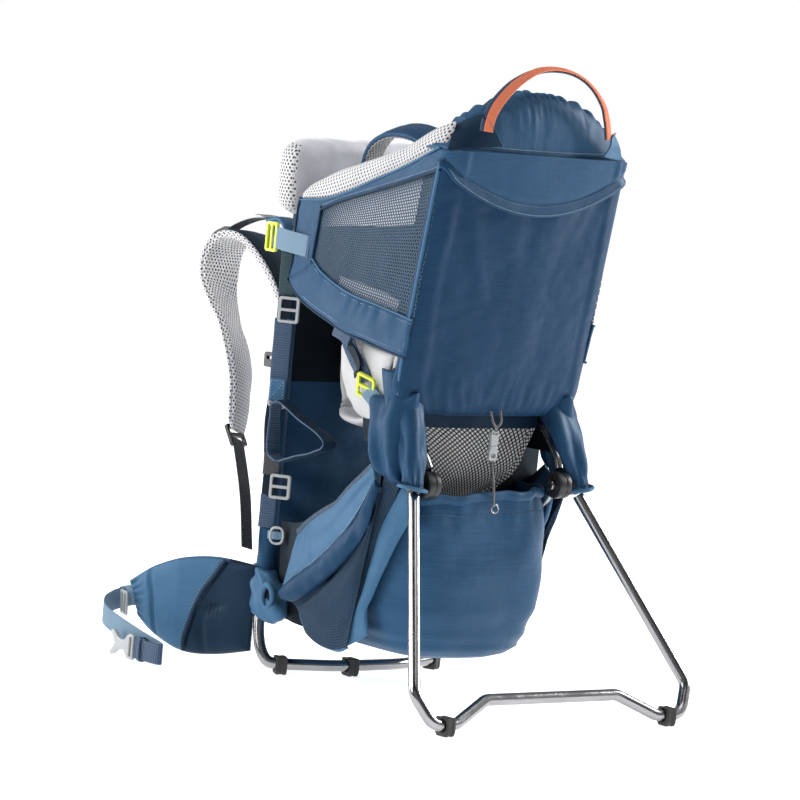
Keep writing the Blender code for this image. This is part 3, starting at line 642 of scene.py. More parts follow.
def shell_fabric(name, colour, streak=0.16, thread=0.0011, roughness=0.44, sheen=0.05):
    """Tightly woven nylon: fine threads, drawn streaks along the weft, soft sheen, and worn seams."""
    made = Shader(name, Sheen_Weight=sheen, Sheen_Roughness=0.4, Specular_IOR_Level=0.25)
    made.surface.inputs["Sheen Tint"].default_value = (0.45, 0.7, 1.0, 1.0)
    made.surface.inputs["Specular Tint"].default_value = (0.45, 0.72, 1.0, 1.0)
    weft = made.noise(made.scaled(made.cloth, (28.0, 900.0, 1.0)), 1.0, 3.0, 0.6)
    warp = made.noise(made.scaled(made.cloth, (850.0, 40.0, 1.0)), 1.0, 2.0, 0.5)
    cloud = made.noise(made.place, 14.0, 4.0, 0.55)
    base = made.mix(made.ramp(weft, 0.3, 0.7), tint(colour, 1 - streak), tint(colour, 1 + streak))
    base = made.mix(made.ramp(warp, 0.35, 0.75, 0.0, 0.35), base, tint(colour, 0.8))
    base = made.mix(made.ramp(cloud, 0.3, 0.75, 0.0, 0.35), base, tint(colour, 1.22))
    worn = made.ramp(made.edges(), 0.53, 0.62, 0.0, 0.3)
    base = made.mix(worn, base, tint(colour, 1.4))
    u, v = made.split(made.scaled(made.cloth, (TURN / thread, TURN / thread, 1.0)))
    weave = made.math("MULTIPLY", made.math("SINE", u), made.math("SINE", v))
    normal = made.bump(weave, 0.00012, 0.35)
    normal = made.bump(weft, 0.0003, 0.25, normal)
    crumple = made.noise(made.place, 17.0, 3.0, 0.5)
    normal = made.bump(crumple, 0.008, 0.4, normal)
    made.set("Base Color", base)
    made.set("Roughness", made.ramp(crumple, 0.2, 0.8, roughness - 0.08, roughness + 0.08))
    made.set("Normal", normal)
    return made.material


def webbing(name, colour, rib=0.003, roughness=0.6, contrast=0.45):
    """Woven strap: ribs across its width, twill lines along it and a tight edge."""
    made = Shader(name, Sheen_Weight=0.06, Sheen_Roughness=0.4)
    u, v = made.split(made.cloth)
    ribs = made.math("SINE", made.math("MULTIPLY", v, TURN / rib))
    twill = made.math(
        "SINE", made.math("MULTIPLY", made.math("ADD", u, made.math("MULTIPLY", v, 0.35)), TURN / 0.0016)
    )
    fibre = made.noise(made.scaled(made.cloth, (900.0, 260.0, 1.0)), 1.0, 3.0, 0.6)
    cloud = made.noise(made.place, 25.0, 3.0, 0.5)
    base = made.mix(made.ramp(ribs, -0.9, 0.5), tint(colour, 1 - contrast), tint(colour, 1.12))
    base = made.mix(made.ramp(fibre, 0.35, 0.7, 0.0, 0.3), base, tint(colour, 1.45))
    base = made.mix(made.ramp(cloud, 0.3, 0.7, 0.0, 0.2), base, tint(colour, 0.7))
    worn = made.ramp(made.edges(), 0.52, 0.62, 0.0, 0.45)
    base = made.mix(worn, base, tint(colour, 1.8))
    normal = made.bump(ribs, 0.00035, 0.7)
    normal = made.bump(twill, 0.00012, 0.5, normal)
    made.set("Base Color", base)
    made.set("Roughness", made.ramp(fibre, 0.2, 0.8, roughness - 0.1, roughness + 0.1))
    made.set("Normal", normal)
    return made.material


def spacer_mesh(name, colour, hole_colour, pitch=0.0052, turn=0.0, hole=(0.24, 0.34)):
    """Knitted spacer mesh: staggered holes painted dark for the shade down inside them, in a soft pale face.
    """
    made = Shader(name, roughness=0.85, Sheen_Weight=0.4, Sheen_Roughness=0.5)
    holes = made.stagger(pitch, 0.8, hole, turn)
    knit = made.noise(made.scaled(made.cloth, (1500.0, 700.0, 1.0)), 1.0, 2.0, 0.6)
    cloud = made.noise(made.place, 22.0, 4.0, 0.55)
    base = made.mix(made.ramp(knit, 0.3, 0.7), tint(colour, 0.86), tint(colour, 1.06))
    base = made.mix(made.ramp(cloud, 0.3, 0.75, 0.0, 0.35), base, tint(colour, 0.8))
    base = made.mix(holes, base, hole_colour)
    normal = made.bump(made.math("SUBTRACT", 1.0, holes), 0.0011, 0.9)
    normal = made.bump(knit, 0.0002, 0.5, normal)
    made.set("Base Color", base)
    made.set("Normal", normal)
    return made.material


def open_net(name, colour, pitch=0.004, hole=(0.41, 0.43), squash=0.8, turn=0.0):
    """Fine knitted net with real holes in it."""
    made = Shader(name, roughness=0.6, Sheen_Weight=0.05)
    holes = made.stagger(pitch, squash, hole, turn)
    fibre = made.noise(made.scaled(made.cloth, (1200.0, 900.0, 1.0)), 1.0, 2.0, 0.6)
    cloud = made.noise(made.place, 18.0, 3.0, 0.5)
    base = made.mix(made.ramp(fibre, 0.3, 0.7), tint(colour, 0.75), tint(colour, 1.2))
    base = made.mix(made.ramp(cloud, 0.3, 0.7, 0.0, 0.35), base, tint(colour, 0.7))
    made.set("Base Color", base)
    made.set("Normal", made.bump(made.math("SUBTRACT", 1.0, holes), 0.0006, 0.8))
    made.set("Alpha", made.math("SUBTRACT", 1.0, holes))
    return made.material


def knit_mesh(name, colour, hole_colour, pitch=0.0034, hole=(0.3, 0.34), turn=0.0):
    """The same net laid on dark cloth, as on a pocket."""
    made = Shader(name, roughness=0.7, Sheen_Weight=0.03, Specular_IOR_Level=0.2)
    holes = made.stagger(pitch, 0.8, hole, turn)
    cloud = made.noise(made.place, 22.0, 3.0, 0.5)
    fibre = made.noise(made.scaled(made.cloth, (1200.0, 900.0, 1.0)), 1.0, 2.0, 0.6)
    base = made.mix(made.ramp(fibre, 0.3, 0.7), tint(colour, 0.8), tint(colour, 1.25))
    base = made.mix(made.ramp(cloud, 0.3, 0.7, 0.0, 0.45), base, tint(colour, 0.6))
    base = made.mix(holes, base, hole_colour)
    made.set("Base Color", base)
    made.set("Normal", made.bump(made.math("SUBTRACT", 1.0, holes), 0.0007, 0.9))
    return made.material


def checked_net(name, thread, ground, pitch=0.0042):
    """Open black netting over white: slanted square cells."""
    made = Shader(name, roughness=0.75)
    lay = made.scaled(made.cloth, (1 / pitch, 1 / pitch, 1.0), math.radians(38))
    u, v = made.split(lay)
    cells = [made.math("ABSOLUTE", made.math("SUBTRACT", made.math("FRACT", axis), 0.5)) for axis in (u, v)]
    far = made.math("MAXIMUM", *cells)
    threads = made.ramp(far, 0.29, 0.36)
    fibre = made.noise(made.scaled(made.cloth, (1500.0, 1500.0, 1.0)), 1.0, 2.0, 0.6)
    cloud = made.noise(made.place, 30.0, 3.0, 0.5)
    cell = made.mix(made.ramp(cloud, 0.35, 0.7, 0.0, 0.35), ground, tint(ground, 0.72))
    dark = made.mix(made.ramp(fibre, 0.3, 0.7), thread, tint(thread, 2.4))
    made.set("Base Color", made.mix(threads, cell, dark))
    made.set("Normal", made.bump(threads, 0.0008, 0.9))
    return made.material


def velour(name, colour):
    """Brushed fabric with a short pile."""
    made = Shader(name, roughness=0.95, Sheen_Weight=0.7, Sheen_Roughness=0.6)
    pile = made.noise(made.place, 900.0, 3.0, 0.7)
    stroke = made.noise(made.place, 26.0, 4.0, 0.6)
    base = made.mix(made.ramp(stroke, 0.3, 0.7), tint(colour, 0.82), tint(colour, 1.08))
    base = made.mix(made.ramp(pile, 0.3, 0.75, 0.0, 0.4), base, tint(colour, 0.75))
    normal = made.bump(pile, 0.0006, 0.6)
    made.set("Base Color", base)
    made.set("Normal", made.bump(stroke, 0.002, 0.4, normal))
    return made.material


def drawn_steel(name, colour):
    """Bright stainless tube: drawing marks along it, and faint rubbed patches."""
    made = Shader(name, roughness=0.2, metallic=1.0)
    marks = made.noise(made.scaled(made.cloth, (1600.0, 18.0, 1.0)), 1.0, 3.0, 0.6)
    patches = made.noise(made.place, 40.0, 4.0, 0.6)
    base = made.mix(made.ramp(marks, 0.3, 0.7), tint(colour, 0.85), tint(colour, 1.08))
    base = made.mix(made.ramp(patches, 0.45, 0.8, 0.0, 0.3), base, tint(colour, 0.7))
    made.set("Base Color", base)
    made.set("Roughness", made.ramp(patches, 0.3, 0.75, 0.14, 0.3))
    made.set("Normal", made.bump(marks, 0.00008, 0.4))
    return made.material


def moulded(name, colour, roughness=0.38, worn=1.7, grain=0.00006):
    """Injection-moulded plastic: faint grain, slightly uneven gloss and rubbed edges."""
    made = Shader(name, roughness=roughness)
    grainy = made.noise(made.place, 1400.0, 2.0, 0.5)
    patches = made.noise(made.place, 60.0, 4.0, 0.6)
    rubbed = made.ramp(made.edges(), 0.52, 0.6, 0.0, 0.55)
    base = made.mix(made.ramp(patches, 0.3, 0.75, 0.0, 0.3), tint(colour, 1.0), tint(colour, 0.82))
    base = made.mix(rubbed, base, tint(colour, worn))
    made.set("Base Color", base)
    made.set("Roughness", made.ramp(patches, 0.3, 0.7, roughness - 0.07, roughness + 0.1))
    made.set("Normal", made.bump(grainy, grain, 0.5))
    return made.material


def braided_cord(name, colour, fleck):
    """A thin braided cord with pale flecks."""
    made = Shader(name, roughness=0.6, Sheen_Weight=0.3)
    u, v = made.split(made.scaled(made.cloth, (1 / 0.0025, 1 / 0.0032, 1.0)))
    one = made.math("SINE", made.math("MULTIPLY", made.math("ADD", u, v), TURN))
    two = made.math("SINE", made.math("MULTIPLY", made.math("SUBTRACT", u, v), TURN))
    braid = made.math("MULTIPLY", one, two)
    flecks = made.ramp(braid, 0.25, 0.55)
    made.set("Base Color", made.mix(flecks, colour, fleck))
    made.set("Normal", made.bump(braid, 0.0003, 0.8))
    return made.material


BLUE = (0.014, 0.05, 0.11)
LOOKS = {
    "shell": shell_fabric("shell_fabric", BLUE), "bag": shell_fabric("bag_fabric", (0.021, 0.066, 0.136)),
    # The darker panel copy and the lighter and darker copies of the shell fabric below are painted light and
    # shade: painted shade on faces that lie in shade, painted light on faces that catch it.
    "panel": shell_fabric("panel_fabric_painted_shade", (0.007, 0.033, 0.082)),
    "shell_light": shell_fabric("shell_fabric_painted_light", (0.046, 0.12, 0.215), streak=0.1),
    "shell_dark": shell_fabric("shell_fabric_painted_shade", (0.006, 0.017, 0.036), streak=0.12),
    # Near-black cloth: the colour of a few dark straps, and painted shade where it fills gaps, slots, the
    # boot's mouth, the space under the seat and the upper back.
    "lining": shell_fabric("black_cloth_and_painted_shade", (0.003, 0.004, 0.006), streak=0.1, sheen=0.03),
    "web_navy": webbing("webbing_navy", (0.026, 0.062, 0.125)),
    "web_dark": webbing("webbing_dark", (0.03, 0.034, 0.04), contrast=0.35),
    "web_sky": webbing("webbing_sky", (0.13, 0.225, 0.32), rib=0.0016, contrast=0.15),
    "web_teal": webbing("webbing_teal", (0.012, 0.045, 0.06), rib=0.002),
    "web_orange": webbing("webbing_orange", (0.78, 0.19, 0.085), rib=0.0012, contrast=0.18),
    "elastic": webbing("ribbed_elastic", (0.024, 0.06, 0.115), rib=0.004, contrast=0.7),
    "mesh": spacer_mesh("spacer_mesh", (0.64, 0.64, 0.66), (0.026, 0.026, 0.034)),
    "window": open_net("window_net", (0.034, 0.084, 0.15)),
    "pocket_mesh": knit_mesh("pocket_mesh", (0.015, 0.046, 0.092), (0.002, 0.005, 0.01)),
    "net": checked_net("checked_net", (0.008, 0.008, 0.01), (0.72, 0.73, 0.74)),
    "velour": velour("velour_grey", (0.56, 0.57, 0.62)),
    "seat": shell_fabric("seat_cloth", (0.5, 0.5, 0.5), streak=0.05, roughness=0.8, sheen=0.2),
    # The cockpit's pale mesh, made brighter to make up for the dim light inside the cockpit: partly painted
    # light.
    "liner": shell_fabric("cockpit_liner_painted_light", (0.78, 0.78, 0.79), streak=0.04, roughness=0.8, sheen=0.2),
    "steel": drawn_steel("drawn_steel", (0.33, 0.33, 0.34)),
    "black": moulded("black_plastic", (0.012, 0.012, 0.014), worn=3.0),
    "rubber": moulded("rubber_foot", (0.02, 0.02, 0.021), roughness=0.6, worn=2.0, grain=0.00015),
    "grey": moulded("grey_plastic", (0.36, 0.38, 0.39), roughness=0.35, worn=1.5),
    "lime": moulded("lime_plastic", (0.66, 0.76, 0.045), roughness=0.33, worn=1.3),
    "cord": braided_cord("braided_cord", (0.01, 0.01, 0.013), (0.45, 0.45, 0.46)),
    "thread_pale": webbing("thread_pale", (0.34, 0.46, 0.6), rib=0.001),
    "thread_blue": webbing("thread_blue", (0.06, 0.12, 0.21), rib=0.001)
}


# ---------------------------------------------------------------- Studio
def studio():
    size = 6.0
    floor_mesh = bpy.data.meshes.new("floor")
    rings = ((-size, -size), (size, -size), (size, size), (-size, size))
    floor_mesh.from_pydata([(x, y, -0.0004) for x, y in rings], [], [(0, 1, 2, 3)])
    floor = bpy.data.objects.new("floor", floor_mesh)
    bpy.context.scene.collection.objects.link(floor)
    pale = Shader("studio_floor", roughness=0.9)
    speck = pale.noise(pale.place, 3.0, 3.0, 0.5)
    pale.set("Base Color", pale.mix(speck, (0.9, 0.9, 0.9), (0.93, 0.93, 0.93)))
    pale.surface.inputs["Emission Color"].default_value = (1.0, 1.0, 1.0, 1.0)
    pale.surface.inputs["Emission Strength"].default_value = 0.8
    floor_mesh.materials.append(pale.material)

    world = bpy.data.worlds.new("studio")
    bpy.context.scene.world = world
    world.use_nodes = True
    tree = world.node_tree
    seen = tree.nodes["Background"]
    seen.inputs["Color"].default_value = (1.0, 1.0, 1.0, 1.0)
    seen.inputs["Strength"].default_value = 1.0
    # Rings of white and black card round the camera's side, which the tubes and the plastic mirror.
    place = tree.nodes.new("ShaderNodeTexCoord")
    towards = tree.nodes.new("ShaderNodeVectorMath")
    towards.operation = "DOT_PRODUCT"
    tree.links.new(place.outputs["Generated"], towards.inputs[0])
    towards.inputs[1].default_value = -CAMERA_AHEAD
    share = tree.nodes.new("ShaderNodeMapRange")
    tree.links.new(towards.outputs["Value"], share.inputs["Value"])
    share.inputs["From Min"].default_value = -1.0
    cards = tree.nodes.new("ShaderNodeValToRGB")
    tree.links.new(share.outputs[0], cards.inputs[0])
    rings = (
        (0.0, 0.75), (0.32, 0.75), (0.4, 1.15), (0.66, 1.15), (0.7, 0.1), (0.86, 0.06), (0.9, 0.62),
        (1.0, 0.62)
    )
    ramp = cards.color_ramp.elements
    while len(ramp) < len(rings):
        ramp.new(0.5)
    for element, (spot, grey) in zip(ramp, rings):
        element.position = spot
        element.color = (grey, grey, grey * 1.02, 1.0)
    lighting = tree.nodes.new("ShaderNodeBackground")
    tree.links.new(cards.outputs[0], lighting.inputs["Color"])
    lighting.inputs["Strength"].default_value = 0.4
    rays = tree.nodes.new("ShaderNodeLightPath")
    both = tree.nodes.new("ShaderNodeMixShader")
    tree.links.new(rays.outputs["Is Camera Ray"], both.inputs[0])
    tree.links.new(lighting.outputs[0], both.inputs[1])
    tree.links.new(seen.outputs[0], both.inputs[2])
    tree.links.new(both.outputs[0], tree.nodes["World Output"].inputs["Surface"])

    def lamp(name, place, target, width, height, power):
        data = bpy.data.lights.new(name, "AREA")
        data.shape = "RECTANGLE"
        data.size = width
        data.size_y = height
        data.energy = power
        light = bpy.data.objects.new(name, data)
        bpy.context.scene.collection.objects.link(light)
        light.location = at(*place)
        ahead = at(*target) - light.location
        light.rotation_euler = ahead.to_track_quat("-Z", "Y").to_euler()

    lamp("key_left", (-2.4, 0.3, 1.5), (0, 0, 0.35), 1.2, 1.8, 36)
    lamp("rim_right", (2.6, -0.9, 1.5), (0, 0, 0.6), 0.7, 1.2, 82)
    lamp("back_left", (-1.9, 2.2, 1.1), (0, 0, 0.35), 0.8, 1.8, 52)
    lamp("top", (0.2, -0.9, 2.6), (0, 0, 0.3), 1.4, 1.4, 14)


bpy.context.scene.view_settings.view_transform = "Standard"
set_camera()
studio()


# ---------------------------------------------------------------- Frame and kickstand
GROUND_Z = 0.0125
FRAME_TOP = 0.5395
HINGE_Y = -0.222
HINGE_Z = 0.264
GROUND_BAR = (
    (0.0, -0.019, GROUND_Z), (0.05, -0.016, GROUND_Z), (0.098, -0.001, GROUND_Z), (0.118, 0.0085, GROUND_Z),
    (0.13, 0.017, 0.0145), (0.1345, 0.0265, 0.027), (0.1335, 0.036, 0.05), (0.1285, 0.0425, 0.085),
    (RAIL_X, RAIL_Y, 0.13)
)
STAND = (
    (0.1255, HINGE_Y - 0.0072, HINGE_Z - 0.0113), (0.206, -0.362, 0.046), (0.188, -0.3778, GROUND_Z),
    (0.152, -0.37456, GROUND_Z), (0.099, -0.36, 0.036)
)
HOOP = (
    (0.1, HINGE_Y + 0.0015, HINGE_Z + 0.019), (0.102, -0.212, 0.298), (0.11, -0.172, 0.33),
    (0.116, -0.16, 0.365), (0.118, -0.196, 0.6), (0.112, -0.198, 0.643)
)


def tubes():
    low = through(mirrored(GROUND_BAR[:0:-1], -1) + list(GROUND_BAR), 8)
    top = ((1, 0.3), (1, FRAME_TOP), (-1, FRAME_TOP), (-1, 0.3))
    high = filleted([(sx * RAIL_X, RAIL_Y, z) for sx, z in top], 0.022)
    frame_tube = pipe("frame_tube", low + high, TUBE_R, "steel", "carrier", 28, closed=True)
    stand_path = filleted(list(STAND) + mirrored(STAND[::-1], -1), 0.022, 14)
    stand_tube = pipe("stand_tube", stand_path, TUBE_R, "steel", "kickstand", 28)
    hoop_path = filleted(list(HOOP) + mirrored(HOOP[::-1], -1), 0.03, 8)
    hoop_tube = pipe("hoop_tube", hoop_path, 0.0055, "steel", "carrier", 20)
    for piece, node in (
        (frame_tube, "main_frame"), (stand_tube, "kickstand_tube"), (hoop_tube, "panel_hoop")
    ):
        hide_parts(node)
    for side, sx in SIDES:
        route = (
            (0.1, HINGE_Y + 0.0145, HINGE_Z - 0.0103), (0.107, -0.19, 0.241), (0.1175, -0.15, 0.2135),
            (0.1175, -0.04, 0.139), (0.1195, 0.012, 0.106), (0.122, 0.029, 0.094)
        )
        arm = pipe(f"arm_tube_{side}", through(mirrored(route, sx), 8), 0.006, "steel", "carrier", 24)
        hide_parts(f"side_arm_{side}")


def hinge_parts():
    for side, sx in SIDES:
        hub_profile = (
            (-0.009, 0.0042), (-0.009, 0.014), (-0.0078, 0.0157), (-0.006, 0.016), (-0.0022, 0.016),
            (-0.0016, 0.0152), (0.0016, 0.0152), (0.0022, 0.016), (0.006, 0.016), (0.0078, 0.0157),
            (0.009, 0.014), (0.009, 0.0042)
        )
        hub = turned(
            f"hub_{side}", (sx * 0.1, HINGE_Y, HINGE_Z), (sx, 0, 0), hub_profile, "black", "carrier", 48
        )
        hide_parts(f"hinge_hub_{side}")
        eye_profile = (
            (-0.0065, 0.0042), (-0.0065, 0.01), (-0.005, 0.0115), (0.005, 0.0115), (0.0065, 0.01),
            (0.0065, 0.0042)
        )
        eye = turned(
            f"eye_{side}", (sx * 0.121, HINGE_Y, HINGE_Z), (sx, 0, 0), eye_profile, "black", "kickstand", 40
        )
        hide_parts(f"leg_eye_{side}")
        pin_profile = (
            (0.0, 0.0052), (0.001, 0.0065), (0.0044, 0.0065), (0.0046, 0.0036), (0.042, 0.0036),
            (0.0422, 0.0065), (0.045, 0.0065), (0.046, 0.0052)
        )
        pin = turned(
            f"pin_{side}", (sx * 0.0855, HINGE_Y, HINGE_Z), (sx, 0, 0), pin_profile, "steel", "carrier"
        )
        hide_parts(f"hinge_pin_{side}")


def foot(name, place, along, body, node):
    """A rubber foot clipped round a ground tube: flat and ribbed underneath, with eased edges."""
    centre = Vector((place[0], place[1], GROUND_Z))
    along = Vector(along).normalized()
    across = Vector((0, 0, 1)).cross(along).normalized()
    hole = TUBE_R + 0.0009
    rings = []
    segments = 48
    for index in range(segments):
        angle = 2 * math.pi * (index + 0.5) / segments
        c = math.cos(angle)
        s = math.sin(angle)
        outer = (max(-1.0, min(1.0, 1.25 * c)) * 0.0098, max(-GROUND_Z, min(0.0092, 0.016 * s)))
        inner = (c * hole, s * hole)
        ring = []
        for share, shift in (
            (0.0, -0.0066), (0.35, -0.0072), (0.8, -0.007), (1.0, -0.0058), (1.0, -0.0026), (0.9, -0.002),
            (0.9, 0.002), (1.0, 0.0026), (1.0, 0.0058), (0.8, 0.007), (0.35, 0.0072), (0.0, 0.0066)
        ):
            a = inner[0] + (outer[0] - inner[0]) * share
            b = inner[1] + (outer[1] - inner[1]) * share
            ring.append(centre + across * a + Vector((0, 0, b)) + along * shift)
        rings.append(ring)
    piece = skin(name, rings, "rubber", body, loop=True, smooth=40.0)
    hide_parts(node)


def feet():
    foot("foot_left", (-0.1175, 0.0082), (0.9, -0.42, 0), "carrier", "frame_foot_left")
    foot("foot_middle", (-0.03, -0.0177), (1, -0.07, 0), "carrier", "frame_foot_middle")
    foot("foot_right", (0.1175, 0.0082), (0.9, 0.42, 0), "carrier", "frame_foot_right")
    for side, sx in SIDES:
        foot(
            f"stand_foot_{side}", (sx * 0.168, -0.376), (sx, -0.09, 0), "kickstand", f"kickstand_foot_{side}"
        )


tubes()
hinge_parts()
feet()


# ---------------------------------------------------------------- Outer panel, cap and handle
PANEL_BOTTOM = 0.343
PANEL_TOP = 0.6575
PANEL_HALF = 0.139
PANEL_Y = -0.202  # of the panel's side edges, at LEAN_FROM_Z
LEAN_FROM_Z = 0.379
LEAN = 0.168  # how far the panel leans out for each metre up


def panel_edge_y(z):
    """y of the outer panel's face at its side edges."""
    return PANEL_Y - (z - LEAN_FROM_Z) * LEAN


def panel_face(x, z, out=0.0):
    """A point on the outer panel's face, with its sides rounded off."""
    s = x / PANEL_HALF
    near = min(1.0, max(0.0, PANEL_HALF - abs(x)) / 0.014)
    round_off = 0.0105 * (1 - math.sqrt(max(0.0, 1 - (1 - near) ** 2)))
    return Vector((x, panel_edge_y(z) - 0.012 * (1 - s * s) + round_off - out, z))


def band_z(x):
    """Height of the upper edge of the band across the panel."""
    return 0.5975 + 0.0457 * (x / PANEL_HALF) ** 2 + (0.006 * bump_at(x, -0.139, 0.02))


def outer_panel():
    def surface(u, v):
        s = 2 * u - 1
        corner = 0.003 * max(0.0, (abs(s) - 0.86) / 0.14) ** 2
        z = PANEL_BOTTOM + (PANEL_TOP - corner - PANEL_BOTTOM) * v
        narrow = max(0.0, 1 - v / 0.12) ** 2 * 0.026
        middle = panel_edge_y(z) + 0.0115 - 0.012 * (1 - s * s)
        return ((PANEL_HALF - narrow) * s, middle, z)

    def thick(u, v):
        side = min(1.0, min(u, 1 - u) * 0.278 / 0.014)
        foot_near = min(1.0, v * 0.313 / 0.02)
        return 0.023 * (
            0.1 + 0.9 * math.sqrt(max(0.0, 1 - (1 - side) ** 2))
            * math.sqrt(max(0.0, 1 - (1 - foot_near) ** 2))
        )

    def relief(u, v):
        """Folds hang from the band's ends and its middle; a valley runs down inside each rolled edge."""
        x = (2 * u - 1) * PANEL_HALF
        z = PANEL_BOTTOM + (PANEL_TOP - PANEL_BOTTOM) * v
        under = band_z(x) - z
        deep = 0.0
        valley = bump_at(u, 0.085 + 0.01 * math.sin(9 * v), 0.045) + 0.7 * bump_at(u, 0.93, 0.03)
        deep -= 0.0018 * valley * min(1.0, v / 0.15) * (1 if under > 0 else 0.2)
        if under > 0:
            fade = math.exp(-under / 0.11)
            for start, slope, wide, high in (
                (-0.112, 0.36, 0.011, 0.0028), (-0.086, 0.26, 0.01, -0.0022), (-0.05, 0.1, 0.012, 0.0016),
                (-0.004, 0.02, 0.01, 0.0018), (0.028, -0.05, 0.013, -0.0016), (0.072, -0.18, 0.011, 0.0022),
                (0.108, -0.33, 0.011, 0.0026)
            ):
                centre = start + slope * under + 0.006 * math.sin(26 * under + 30 * start)
                deep += 0.75 * high * fade * bump_at(x, centre, wide * (1.6 + 6 * under))
            deep += 0.002 * rough(x * 1.2, z * 0.9, 1.0, 0.075)
            deep += 0.0006 * rough(x * 1.3, z * 2.2, 4.0, 0.024)
        else:
            step = min(1.0, -under / 0.008)
            deep -= 0.003 * step
            for centre, wide, low in (
                (-0.11, 0.007, 0.0016), (-0.127, 0.007, 0.001), (0.118, 0.007, 0.0016), (0.129, 0.007, 0.001)
            ):
                deep -= low * bump_at(x, centre, wide)
            deep += 0.001 * rough(x * 0.8, z * 1.4, 2.0, 0.05)
        bottom = bump_at(v, 0.0, 0.22)
        deep += 0.0026 * bottom * rough(x * 3.2, z * 0.8, 7.0, 0.032)
        return -deep

    # Below the band the panel takes the darker panel copy of the shell fabric: painted shade.
    piece = sheet("panel_cover", surface, (110, 100), thick, "panel", "carrier", relief=relief, smooth=75.0)
    piece.data.materials.append(LOOKS["bag"])
    for polygon in piece.data.polygons:
        polygon.material_index = int(polygon.center.z > band_z(polygon.center.x) - 0.004)
    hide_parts("outer_panel")


def panel_details():
    xs = [PANEL_HALF * (-1 + 2 * k / 60) * 0.995 for k in range(61)]
    path = [panel_face(x, band_z(x) - 0.007, 0.0022) for x in xs]
    band = ribbon("pocket_band", path, 0.015, 0.0034, (0, -1, 0.15), "shell", "carrier", dome=0.1)
    lower = [panel_face(x, band_z(x) - 0.012, 0.006) for x in xs]
    stitches("band_stitches", lower, (0, -1, 0.1), "thread_pale", "carrier", 0.0034, 0.00055)
    upper = [panel_face(x, band_z(x) - 0.0018, 0.004) for x in xs]
    stitches("band_stitches_upper", upper, (0, -1, 0.1), "thread_blue", "carrier", 0.003, 0.00035)
    for side, sx in SIDES:
        points = [
            (sx * 0.133, 0.366), (sx * 0.1372, 0.4), (sx * 0.1384, 0.48), (sx * 0.1388, 0.56),
            (sx * 0.139, 0.64)
        ]
        route = [Vector((x, panel_edge_y(z) + 0.007, z)) for x, z in points]
        # The piping takes the lighter copy of the shell fabric: painted light.
        edge = pipe(f"panel_piping_{side}", through(route, 8), 0.0021, "shell_light", "carrier", 12)
    tab = through([(-0.0075, -0.2122, 0.35), (-0.006, -0.2165, 0.338), (0.0, -0.2168, 0.331)], 6)
    tab += through([(0.0, -0.2168, 0.331), (0.006, -0.2165, 0.338), (0.0075, -0.2122, 0.35)], 6)[1:]
    pipe("hook_cord", tab, 0.0015, "cord", "carrier", 10)


CAP_CREST = (
    (-0.1345, 0.6585), (-0.1265, 0.669), (-0.109, 0.689), (-0.083, 0.7065), (-0.05, 0.7198),
    (-0.0225, 0.7266), (0.0, 0.7287), (0.049, 0.7238), (0.082, 0.7115), (0.1005, 0.6975), (0.111, 0.6895),
    (0.1265, 0.67), (0.135, 0.6585)
)


def head_cap():
    """Fabric gathered over the folded sun roof: a smooth front, and pleats that crowd at the crest."""
    crest = sampled(through([Vector((x, 0, z)) for x, z in CAP_CREST], 10), 120)
    rings = []
    for spot in crest:
        x = spot.x
        s = x / PANEL_HALF
        rise = spot.z - 0.6545
        front = -0.247 - 0.0115 * (1 - s * s)
        back = -0.206
        ring = []
        for step in range(26):
            angle = math.pi * step / 25
            c = math.cos(angle)
            lift = math.sin(angle) ** 0.72
            crowd = lift ** (6 + 3 * math.sin(x / 0.013))
            wave = math.sin(x / 0.0042 + 2.2 * math.sin(x / 0.019) + 1.5 * lift)
            pleat = 0.6 - 1.9 * abs(wave) ** 0.7 + 0.6 * rough(x, 0.0, 3.0, 0.008)
            fold = 0.0046 * crowd * pleat + 0.0016 * lift * (1 - lift) * 4 * rough(
                x * 1.4, 0.0, 0.2 + step * 0.001, 0.03
            )
            lean = 0.011 * lift
            y = (front + back) / 2 + lean * 0.2 + (front - back) / 2 * math.copysign(abs(c) ** 0.8, c)
            z = 0.6545 + rise * lift
            ring.append(Vector((x, y + fold * c, z + fold * (0.35 + 0.65 * lift))))
        ring += [Vector((x, back + (front - back) * k / 5, 0.654)) for k in (1, 2, 3, 4)]
        rings.append(ring)
    cap = skin("cap_cover", rings, "bag", "carrier", smooth=75.0)
    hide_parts("head_cap")
    seam = [
        Vector(
            (
                x, panel_edge_y(0.657) + 0.0014 - 0.0118 * (1 - (x / PANEL_HALF) ** 2) + 0.001,
                0.6565 + 0.004 * (x / 0.139) ** 2
            )
        )
        for x in [k / 30 * 0.137 for k in range(-28, 28)]
    ]
    # The piping takes the darker copy of the shell fabric: painted shade.
    piping = pipe("cap_piping", seam, 0.0006, "shell_dark", "carrier", 10)
    stitch_line = [point + Vector((0, -0.001, 0.004)) for point in seam[7:]]
    stitches("cap_stitches", stitch_line, (0, -1, 0.1), "thread_pale", "carrier")


HANDLE_LINE = (
    (-0.0945, 0.679), (-0.0932, 0.69), (-0.088, 0.7035), (-0.0755, 0.72), (-0.0545, 0.7385), (-0.026, 0.753),
    (0.005, 0.7562), (0.033, 0.751), (0.056, 0.739), (0.075, 0.72), (0.083, 0.703), (0.0865, 0.69),
    (0.088, 0.68)
)


